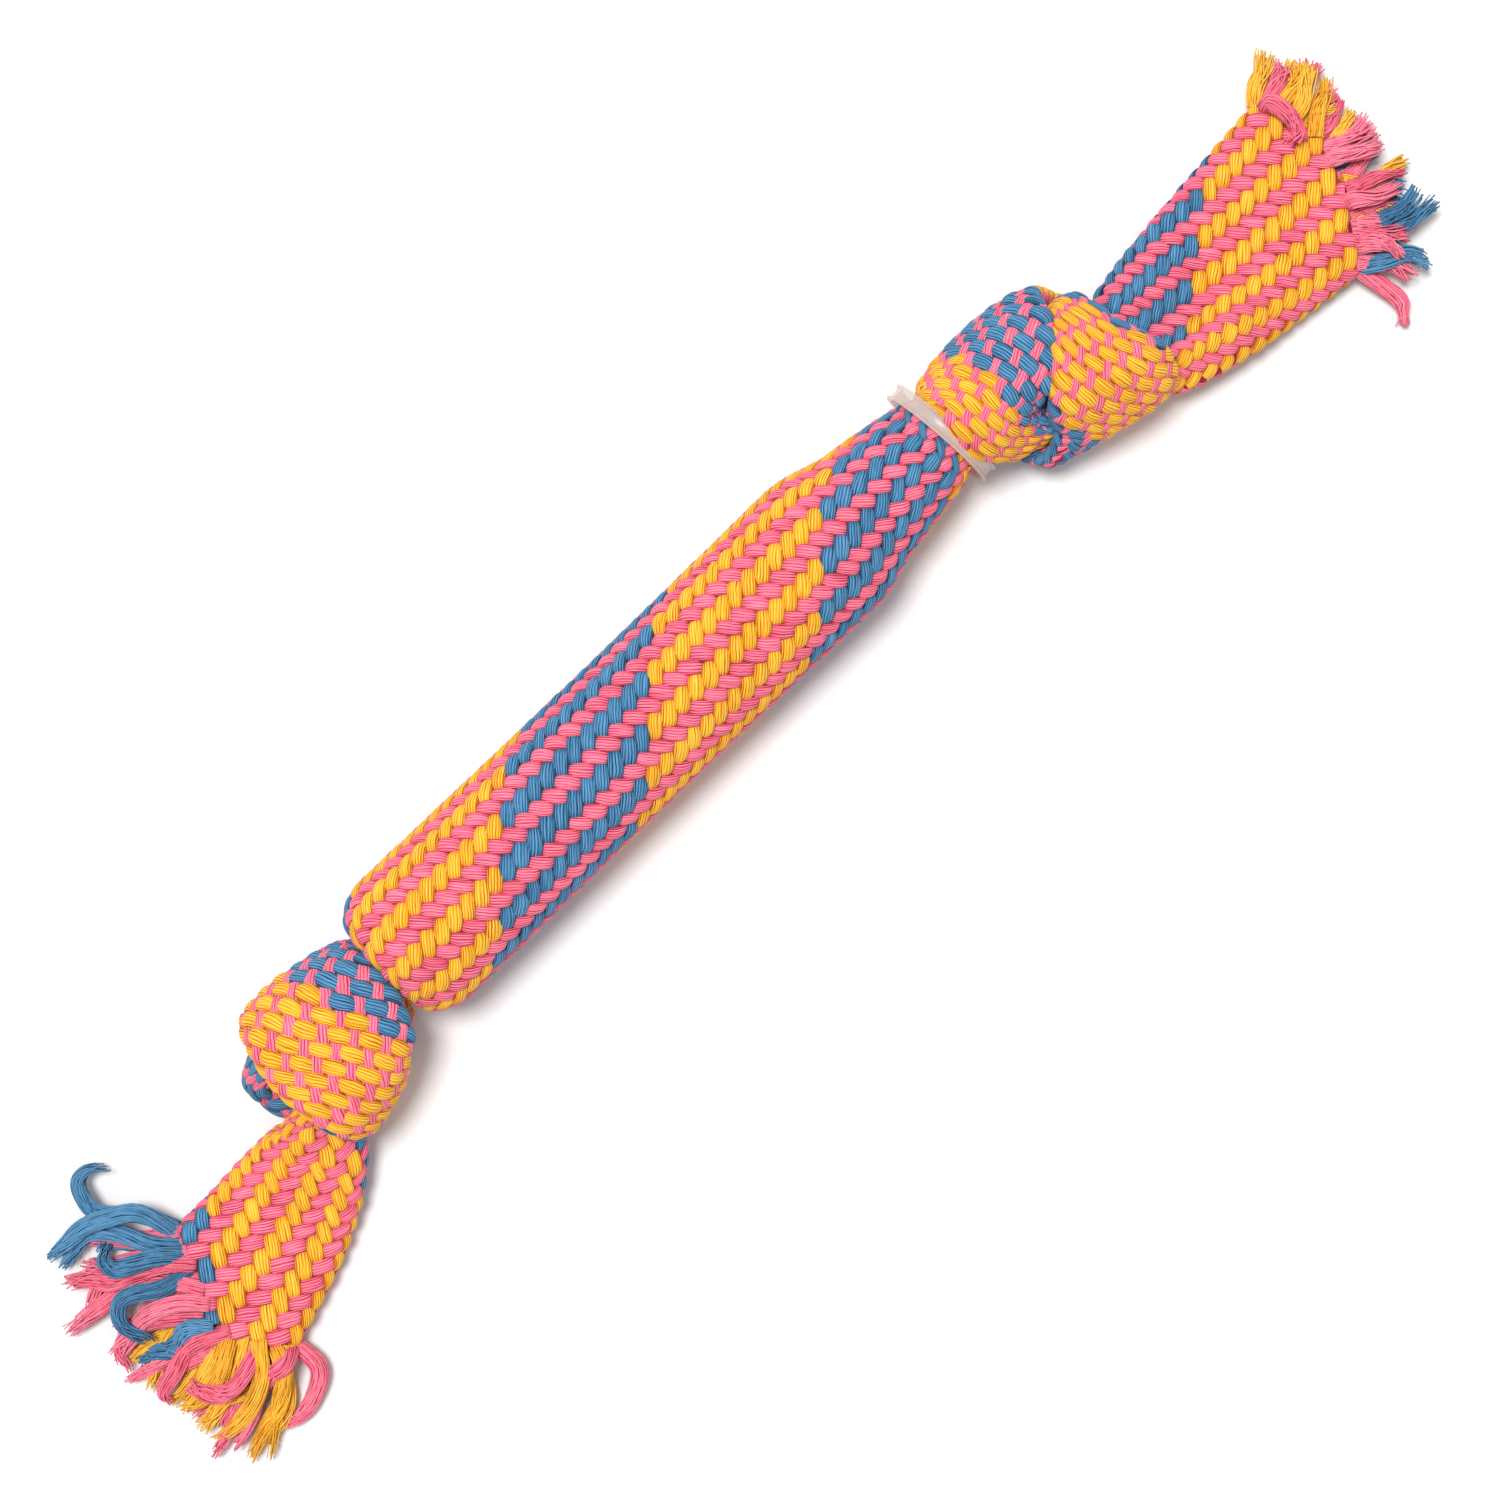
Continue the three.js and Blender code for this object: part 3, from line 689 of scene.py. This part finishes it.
def braid_piece(length, colour, first, last, stands_for, rides, *bend):
    """Makes the strands of one colour in one length of the braid, and returns their middles."""
    way, numbers = COLOURS[colour]
    if length.startswith("tail"):
        first, last = cut_ends(length[-1], way, numbers, first, last)
    points, middle, walked, heights = strand_rings(way, numbers, first, last)
    piece = tube_mesh("braid_" + length + "_" + colour, points, walked, TONES[colour], heights)
    piece.data.materials.append(YARN["braid", colour])
    if bend:
        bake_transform(piece)
    else:
        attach(piece, rides)
    if colour == "pink" and stands_for:
        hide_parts(*stands_for)
    return middle


set_twist()
strand_starts = {}  # where each tail's strands end, and the way they point there
cuts = [sleeve.turn(row[1]) for row in LENGTHS] + [sleeve.turn(sleeve.on_route("b", LAST_ROW))]
for (length, station, *rest), first, last in zip(LENGTHS, cuts, cuts[1:]):
    for colour in COLOURS:
        middle = braid_piece(length, colour, first, last, *rest)
        if length == "tail_a":
            strand_starts["a", colour] = middle[:, 0], middle[:, 0] - middle[:, 2]
        if length == "tail_b":
            strand_starts["b", colour] = middle[:, -1], middle[:, -1] - middle[:, -3]

# Loose strand ends: each is a soft lock of yarns that come apart towards its tip
LOCK_STEPS = 24
LOCK_SIDES = 10
LOCK_HALF_WIDTH = 1.95
LOCK_HALF_THICK = 1.5
LOCK_TIP = 0.92  # share of a lock's length that its core reaches
LOCK_TURN = 1.4  # the most that a lock's section turns along it, in radians
LOCK_SWELL = (0.15, 0.5)  # how much thicker it grows, and over which share of its length
LOCK_TAPER = 0.75  # how much a core thins towards its tip
APART_BY = 1.05  # share of the length at which the yarns are wholly apart
APART_RANGE = (0.7, 1.3)
TWIST_RANGE = (0.8, 2.6)
PHASES = (0, 6.28)
YARNS_PER_LOCK = 24
YARN_SIDES = 4
YARN_RADIUS = 0.27
YARN_SIZES = (0.75, 1.1)
YARN_REACHES = (0.86, 1)
YARN_SLIP = 0.25  # how far a yarn strays round its lock, in yarn spacings
YARN_SWAY = 0.22
YARN_SWAY_RATES = (4, 9)
YARN_TIP = (0.95, 0.7)  # share of a yarn from which it is thinner, and by how much
YARN_TONES = 0.25
FLOOR_GAP = 0.1
# How the ends lie that aren't placed one by one: headings in radians, lengths in millimetres
FAN = 0.62  # how far the ends at a tail's edges turn outwards
FAN_A_SHARPNESS = 2
FAN_A_SHIFT = 0.15
FAN_B_LEAN = -0.1
FAN_B_EDGE = 0.5  # share of the half width from where tail b's ends turn further
FAN_B_MORE = 0.5
FAN_STRAY = 0.16
FIRST_KEPT = 0.7  # how much of its strand's heading an end starts with
SETTLED_BY = 0.4  # share of the length by which that is lost
CURL = 0.4
SWAY = 0.3
SWAY_RATE = 5
FALLS = (11, 18)  # over what length an end sinks to the floor
LAYER_BASE = 2  # ends that start higher also rest higher, on the others
LAYER_SHARE = 0.4
LAYER_MOST = 3.6
LAYER_STRAY = 1.8
REST_HEIGHT = 1.5
REST_WAVE = 0.5
REST_RATE = 7
# Each tail's end: the way it points, its middle and half width, its shortest and longest loose ends, the
# share of their length from which their yarns come apart, and how far
TAIL_ENDS = {
    "a": {"way": -1, "middle": -34, "half": 23, "least": 24, "most": 36, "fray": 0.62, "spread": 1.3},
    "b": {"way": 1, "middle": -20.7, "half": 26, "least": 13, "most": 20, "fray": 0.3, "spread": 1.7},
}
# Locks that the photo shows one by one: places from strand to tip, by tail, colour and strand of that colour
APART = {
    ("a", "pink"): {
        10: [(-195, -17, 11), (-203, -13, 9), (-210, -10, 8), (-215, -5, 6), (-221, -2, 3)],
        8: [(-200, -19, 8), (-208, -14, 7), (-215, -13, 6), (-222, -12, 5), (-229, -11, 3)],
        7: [(-201, -26, 12), (-210, -23, 8), (-216, -24, 6), (-224, -25, 4)],
        6: [(-204, -29, 9), (-212, -24, 6), (-221, -24, 4), (-224, -31, 3)],
        5: [(-206, -37, 10), (-214, -39, 8), (-221, -41, 6), (-222, -44, 4)],
        4: [(-203, -53, 12), (-209, -52, 11), (-213, -48, 9), (-215, -44, 8)],
        2: [(-191, -58, 11), (-196, -58, 9), (-200, -59, 7)],
        3: [(-186, -64, 5), (-191, -69, 4), (-198, -71, 3), (-205, -70, 3)],
        20: [(-204, -41, 8), (-212, -39, 6), (-222, -38, 3)],
    },
    ("a", "blue"): {
        3: [(-192, -2, 9), (-200, 6, 8), (-200, 12, 7), (-198, 16, 6), (-194, 16, 5), (-190, 12, 4)],
        4: [(-191, -2, 11), (-198, 3, 11), (-206, 6, 9), (-213, 6, 6), (-219, 6, 3)],
        5: [(-195, -10, 10), (-200, -1, 8), (-206, 4, 6), (-213, 3, 4), (-218, 1, 3)],
        1: [(-195, -14, 13), (-203, -10, 12), (-207, -8, 9), (-208, -4, 7), (-204, -1, 6)],
        7: [(-200, -21, 10), (-208, -16, 11), (-213, -16, 10), (-216, -21, 9), (-214, -30, 6)],
        0: [(-204, -33, 11), (-209, -35, 8), (-212, -34, 5)],
        10: [(-209, -34, 6), (-215, -32, 4), (-221, -31, 3)],
    },
    ("a", "yellow"): {
        12: [(-201, -45, 11), (-208, -49, 8), (-216, -50, 5), (-221, -47, 3)],
        10: [(-198, -56, 10), (-206, -60, 8), (-214, -61, 5), (-221, -60, 3)],
        9: [(-191, -56, 10), (-195, -61, 8), (-203, -66, 5), (-214, -73, 3)],
        8: [(-199, -64, 6), (-208, -67, 4), (-217, -71, 3)],
        11: [(-203, -51, 8), (-213, -54, 6), (-221, -55, 4)],
        2: [(-205, -43, 8), (-214, -47, 5), (-221, -49, 3)],
    },
    ("b", "pink"): {
        17: [(233, 3, 13), (234, -3, 14), (233, -8, 13), (229, -10, 13)],
        13: [(235, -19, 11), (240, -22, 11), (247, -26, 9)],
        10: [(231, -31, 13), (236, -35, 12), (243, -38, 10)],
        6: [(227, -43, 13), (230, -47, 13), (231, -51, 12)],
        14: [(239, -17, 9), (245, -19, 8), (250, -19, 6)],
        18: [(237, 5, 8), (241, 7, 6), (244, 9, 5)],
        4: [(223, -58, 4), (222, -62, 3), (219, -65, 2)],
    },
    ("b", "blue"): {
        10: [(225, -48, 10), (232, -52, 9), (234, -58, 6)],
        9: [(232, -44, 8), (240, -46, 9), (248, -47, 7)],
        7: [(233, -40, 9), (240, -42, 11), (246, -41, 10)],
    },
    ("b", "yellow"): {
        9: [(234, 9, 7), (238, 11, 6), (243, 14, 4)],
        6: [(239, -3, 10), (244, 0, 8), (249, 2, 6)],
        4: [(241, -7, 9), (246, -5, 7), (250, -3, 5)],
        3: [(240, -16, 8), (245, -15, 7), (249, -14, 5)],
        2: [(238, -31, 7), (245, -31, 6), (251, -32, 4)],
    },
}


def smooth_step(low, high, values):
    share = np.clip((values - low) / (high - low), 0, 1)
    return share * share * (3 - 2 * share)


def lock_path(letter, start, leaving):
    """Places of a loose end from the end of its strand to its tip on the floor."""
    end = TAIL_ENDS[letter]
    across = np.clip((start[1] - end["middle"]) / end["half"], -1, 1)
    first = math.atan2(leaving[1], leaving[0] * end["way"])
    fan = FAN * math.tanh(FAN_A_SHARPNESS * (across + FAN_A_SHIFT))
    if letter == "b":
        fan = FAN_B_LEAN + FAN * across - FAN_B_MORE * max(0, -across - FAN_B_EDGE)
    fan = fan + rng.normal(0, FAN_STRAY)
    length = rng.uniform(end["least"], end["most"])
    curl = rng.normal(0, CURL)
    sway = rng.uniform(-SWAY, SWAY)
    sway_phase = rng.uniform(*PHASES)
    fall_length = rng.uniform(*FALLS)
    layer = np.clip((start[2] - LAYER_BASE) * LAYER_SHARE, 0, LAYER_MOST) + rng.uniform(0, LAYER_STRAY)
    share = np.linspace(0, 1, LOCK_STEPS)
    settle = smooth_step(0, SETTLED_BY, share)
    heading = FIRST_KEPT * first * (1 - settle) + fan * settle + curl * share**2
    heading = heading + sway * (np.sin(SWAY_RATE * share + sway_phase) - math.sin(sway_phase))
    step = length / (LOCK_STEPS - 1)
    flat = np.stack([end["way"] * np.cos(heading), np.sin(heading)], 1)
    place = start[:2] + np.concatenate([np.zeros((1, 2)), np.cumsum(flat[:-1], 0)]) * step
    rest = REST_HEIGHT + layer + REST_WAVE * np.sin(REST_RATE * share + sway_phase)
    high = rest + (start[2] - rest) * np.exp(-((share * length / fall_length) ** 2))
    return np.column_stack([place, high])


def shortened(path, shares):
    """Places of a path at shares of the way along it."""
    even = np.linspace(0, 1, LOCK_STEPS)
    return np.stack([np.interp(shares, even, path[:, axis]) for axis in range(3)], 1)


def lock(path, end):
    """Rings of a lock's core and of the yarns on it, along a path from the strand to the tip."""
    share = np.linspace(0, 1, LOCK_STEPS)
    ahead = unit(np.gradient(path, axis=0))
    side = unit(np.cross([0, 0, 1.0], ahead))
    up = np.cross(ahead, side)
    turn = (rng.uniform(-LOCK_TURN, LOCK_TURN) * share)[:, None]
    broad = np.cos(turn) * side + np.sin(turn) * up
    thin = np.cos(turn) * up - np.sin(turn) * side
    loose = 1 + LOCK_SWELL[0] * smooth_step(0, LOCK_SWELL[1], share)
    taper = 1 - LOCK_TAPER * smooth_step(end["fray"], 1, share)
    half_width = LOCK_HALF_WIDTH * loose
    half_thick = LOCK_HALF_THICK * loose
    core_width, core_thick = (half_width * taper)[:, None], (half_thick * taper)[:, None]
    core = tube_rings(path, core_width * broad, core_thick * thin, LOCK_SIDES)
    core = np.stack([shortened(core[:, at], share * LOCK_TIP) for at in range(LOCK_SIDES)], 1)
    apart = smooth_step(end["fray"], APART_BY, share)
    fray = end["spread"] * rng.uniform(*APART_RANGE)
    twist = rng.uniform(*TWIST_RANGE) * share
    yarns = []
    for yarn in range(YARNS_PER_LOCK):
        angle = 2 * np.pi * (yarn + rng.uniform(-YARN_SLIP, YARN_SLIP)) / YARNS_PER_LOCK + twist
        tip_angle = rng.uniform(0, 2 * np.pi)
        tip = fray * LOCK_HALF_WIDTH * math.sqrt(rng.uniform(0, 1))
        across = half_width * np.cos(angle) * (1 - apart) + tip * math.cos(tip_angle) * apart
        out = half_thick * np.sin(angle) * (1 - apart) + tip * abs(math.sin(tip_angle)) * apart
        across = across + YARN_SWAY * np.sin(rng.uniform(*YARN_SWAY_RATES) * share + rng.uniform(*PHASES))
        middle = path + across[:, None] * broad + out[:, None] * thin
        middle = shortened(middle, share * rng.uniform(*YARN_REACHES))
        middle[:, 2] = np.maximum(middle[:, 2], YARN_RADIUS + FLOOR_GAP)
        heading = unit(np.gradient(middle, axis=0))
        beside = unit(np.cross([0, 0, 1.0], heading))
        above = np.cross(heading, beside)
        thinner = np.where(share > YARN_TIP[0], YARN_TIP[1], 1.0)
        radius = (YARN_RADIUS * rng.uniform(*YARN_SIZES) * thinner)[:, None]
        yarns.append((middle, tube_rings(middle, radius * beside, radius * above, YARN_SIDES)))
    return core, yarns


def tail_locks(letter, colour):
    """Loose ends of one colour on a tail: rings, lengths along and tones of cores and of yarns."""
    starts, leavings = strand_starts[letter, colour]
    placed = APART[letter, colour]
    cores, yarns = [], []
    for number, (start, leaving) in enumerate(zip(starts, leavings)):
        path = lock_path(letter, start, leaving)
        if number in placed:
            path = catmull([start, *placed[number]], np.linspace(0, 1, LOCK_STEPS))
        tone = rng.uniform(0, 1)
        core, yarns_on_it = lock(path, TAIL_ENDS[letter])
        cores.append((core, length_along(path), tone))
        for middle, rings in yarns_on_it:
            shade = np.clip(tone + rng.normal(0, YARN_TONES), 0, 1)
            yarns.append((rings, length_along(middle), shade))
    return [[np.array(values) for values in zip(*tubes)] for tubes in (cores, yarns)]


CAD_ENDS = 20  # loose ends of a tail in the part, which have these colours in turn
CAD_COLOURS = ["pink", "yellow", "pink", "blue"]
LOCK_SHADE_LEVELS = {"locks": 0.6, "ends": 1}  # painted shade: a lock's core is painted darker than its yarns, as shade in the gaps between them
for letter in "ab":
    for colour in COLOURS:
        for kind, (points, walked, tones) in zip(LOCK_SHADE_LEVELS, tail_locks(letter, colour)):
            heights = np.full(points.shape[:2], LOCK_SHADE_LEVELS[kind])
            piece = tube_mesh(kind + "_" + letter + "_" + colour, points, walked, tones, heights)
            piece.data.materials.append(YARN[kind, colour])
            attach(piece, "tail_" + letter)
            if kind == "locks":
                every = len(CAD_COLOURS)
                stood_for = [at + 1 for at in range(CAD_ENDS) if CAD_COLOURS[at % every] == colour]
                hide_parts(*["strand_%s_%02d" % (letter, number) for number in stood_for])


def turned(name, profile, segments, closed):
    """A smooth turned mesh about X from [x, radius] points; a closed profile makes a ring."""
    x, radius = np.asarray(profile, float).T
    points = revolved(x, radius, 2 * np.pi * np.arange(segments) / segments)
    rows = np.arange(len(profile))[:, None] * segments
    here = np.arange(segments)
    beside = (here + 1) % segments
    after = np.roll(rows, -1, 0)
    quads = np.stack([rows + here, rows + beside, after + beside, after + here], -1)
    faces = (quads if closed else quads[:-1]).reshape(-1, 4).tolist()
    if not closed:
        faces += [here[::-1].tolist(), (rows[-1] + here).tolist()]
    mesh = bpy.data.meshes.new(name)
    mesh.from_pydata((points.reshape(-1, 3) * MM).tolist(), [], faces)
    mesh.polygons.foreach_set("use_smooth", np.ones(len(faces), bool))
    return add_object(name, mesh)


# Clear band: a thin ring with a raised rim at each edge, pushed along its own axis up to the knot
BAND_RADIUS = 15.5
BAND_WALL = 0.9
BAND_HALF_WIDTH = 2.3
BAND_RIM = 0.8
BAND_MIDDLE = (104.3, 0, 18.3)
BAND_TURN = math.radians(5.5)  # turn of its axis from X
BAND_PUSH = 3.4
BAND_CURVE = 0.25
BAND_SEGMENTS = 128
RIM_WIDTHS = (0.6, 0.9, 1.2)  # from the edge to the end of the rim's crest, its slope and its foot
RIM_CREST_DROP = 0.1
RIM_FOOT_RISE = 0.15
PLASTIC_SURFACE = {"IOR": 1.45, "Alpha": 0.46}
PLASTIC_CLOUDS = {"Scale": 180, "Detail": 3}
PLASTIC_ROUGHNESS = 0.2  # at the least, and how much the clouds add to it
PLASTIC_DARK = (0.66, 0.56, 0.50, 1)
PLASTIC_LIGHT = (0.80, 0.70, 0.63, 1)


def band_outline():
    """[x, radius] points of the band's section."""
    wall_top = BAND_RADIUS + BAND_WALL
    rim_top = BAND_RADIUS + BAND_WALL + BAND_RIM
    crest, slope, foot = (BAND_HALF_WIDTH - width for width in RIM_WIDTHS)
    half = [
        (BAND_HALF_WIDTH - BAND_CURVE, BAND_RADIUS),
        (BAND_HALF_WIDTH, BAND_RADIUS + BAND_CURVE),
        (BAND_HALF_WIDTH, rim_top - BAND_CURVE),
        (BAND_HALF_WIDTH - BAND_CURVE, rim_top),
        (crest, rim_top - RIM_CREST_DROP),
        (slope, wall_top + RIM_FOOT_RISE),
        (foot, wall_top),
    ]
    mirrored = [(-x, radius) for x, radius in half[::-1]]
    return mirrored[-2:] + half + mirrored[:-2]


def plastic_material():
    """Milky clear plastic with faint clouds."""
    material, tree, shader = new_material("clear_plastic", PLASTIC_SURFACE)
    cloud = noise(tree, PLASTIC_CLOUDS)
    roughness = math_node(tree, "MULTIPLY_ADD", cloud, PLASTIC_ROUGHNESS, PLASTIC_ROUGHNESS)
    milk = colour_ramp(tree, cloud, PLASTIC_DARK, PLASTIC_LIGHT)
    set_inputs(tree, shader, {"Roughness": roughness, "Base Color": milk.outputs["Color"]})
    return material


band = turned("clear_band_ring", band_outline(), BAND_SEGMENTS, True)
band_axis = (math.cos(BAND_TURN), math.sin(BAND_TURN), 0)
band_place = [(middle + BAND_PUSH * axis) * MM for middle, axis in zip(BAND_MIDDLE, band_axis)]
band.data.transform(mathutils.Matrix.Rotation(BAND_TURN, 4, "Z"))
band.data.transform(mathutils.Matrix.Translation(band_place))
band.data.materials.append(plastic_material())
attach(band, "band")
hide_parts("clear_band")

# Filling: loose fibre packed inside the body
FILLING_ENDS = (-91, 88)
FILLING_RADIUS = 15.6
FILLING_NECK = 12
FILLING_TIP = 1
FILLING_SHOULDER = 0.05  # share of the length over which each end rounds off
FILLING_RINGS = 80
FILLING_SEGMENTS = 96
LUMPS = [(0.02, 0.31, 2), (0.015, 0.73, -5)]  # height, rate along X and number round of the waves on it
TUFTS = {"Scale": 420, "Detail": 6}
TUFT_DARK = (0.55, 0.53, 0.49, 1)
TUFT_LIGHT = (0.85, 0.83, 0.78, 1)


def filling_profile():
    """[x, radius] points of the filling."""
    first, last = FILLING_ENDS
    points = []
    for share in np.linspace(0, 1, FILLING_RINGS):
        x = first + share * (last - first)
        shoulder = min(1.0, math.sqrt(max(0.0, min(share, 1 - share)) / FILLING_SHOULDER))
        narrowing = max(0.0, (x - TAPER_START) / (last - TAPER_START))
        full = FILLING_RADIUS - (FILLING_RADIUS - FILLING_NECK) * narrowing**2
        points.append((x, max(FILLING_TIP, full * shoulder)))
    return points


def make_lumpy(mesh):
    """Gives the filling its soft lumps, and lifts it to the body's axis."""
    places = np.empty(len(mesh.vertices) * 3, np.float32)
    mesh.vertices.foreach_get("co", places)
    places = places.reshape(-1, 3) / MM
    around = np.arctan2(places[:, 1], places[:, 2])
    swell = sum(height * np.sin(rate * places[:, 0] + count * around) for height, rate, count in LUMPS)
    places[:, 1:] *= (1 + swell)[:, None]
    places[:, 2] += AXIS_HEIGHT
    mesh.vertices.foreach_set("co", (places * MM).astype(np.float32).ravel())


def filling_material():
    material, tree, shader = new_material("filling", {"Roughness": 0.95})
    tuft = noise(tree, TUFTS)
    wool = colour_ramp(tree, tuft, TUFT_DARK, TUFT_LIGHT)
    bump = add_node(tree, "ShaderNodeBump", {"Height": tuft, "Distance": 0.001})
    set_inputs(tree, shader, {"Base Color": wool.outputs["Color"], "Normal": bump.outputs["Normal"]})
    return material


filling = turned("filling_fibre", filling_profile(), FILLING_SEGMENTS, False)
make_lumpy(filling.data)
filling.data.materials.append(filling_material())
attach(filling, "body")
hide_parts("filling_core")

# Stage
SKY_LIGHT = 0.5  # strength of the surroundings as a light, and as the camera and shiny surfaces see them
SKY_SEEN = 1
SUN_POWER = 2.8
SUN_ANGLE = 18  # in degrees, as are the turns
SUN_TURN = (-13, 0, 8)
FLOOR_HALF = 8
FLOOR_SURFACE = {"Base Color": (0.84, 0.84, 0.84, 1), "Roughness": 0.9, "Specular IOR Level": 0}
CAMERA_PLACE = (0.0126, -0.0254, 1.127)  # in metres
CAMERA_TURN = -43.8
CAMERA_LENS = 100
CAMERA_SENSOR = 36


def add_world():
    """White surroundings that light the toy less than they show."""
    world = bpy.data.worlds.new("studio")
    bpy.context.scene.world = world
    world.use_nodes = True
    tree = world.node_tree
    rays = tree.nodes.new("ShaderNodeLightPath").outputs
    seen = rays["Is Camera Ray"]
    for kind in ("Is Glossy Ray", "Is Transmission Ray"):
        seen = math_node(tree, "MAXIMUM", seen, rays[kind])
    level = add_node(tree, "ShaderNodeMapRange", {"Value": seen, "To Min": SKY_LIGHT, "To Max": SKY_SEEN})
    set_inputs(tree, tree.nodes["Background"], {"Color": (1, 1, 1, 1), "Strength": level.outputs[0]})


add_world()
sun_data = bpy.data.lights.new("key", "SUN")
sun_data.energy = SUN_POWER
sun_data.angle = math.radians(SUN_ANGLE)
add_object("key", sun_data).rotation_euler = [math.radians(turn) for turn in SUN_TURN]
floor_mesh = bpy.data.meshes.new("floor")
corners = [(x * FLOOR_HALF, y * FLOOR_HALF, 0) for x, y in ((-1, -1), (1, -1), (1, 1), (-1, 1))]
floor_mesh.from_pydata(corners, [], [(0, 1, 2, 3)])
floor_mesh.materials.append(new_material("floor", FLOOR_SURFACE)[0])
add_object("floor", floor_mesh)
camera_data = bpy.data.cameras.new("camera")
camera_data.lens = CAMERA_LENS
camera_data.sensor_width = CAMERA_SENSOR
camera = add_object("camera", camera_data)
camera.location = CAMERA_PLACE
camera.rotation_euler = (0, 0, math.radians(CAMERA_TURN))
bpy.context.scene.camera = camera
bpy.context.scene.view_settings.view_transform = "Standard"
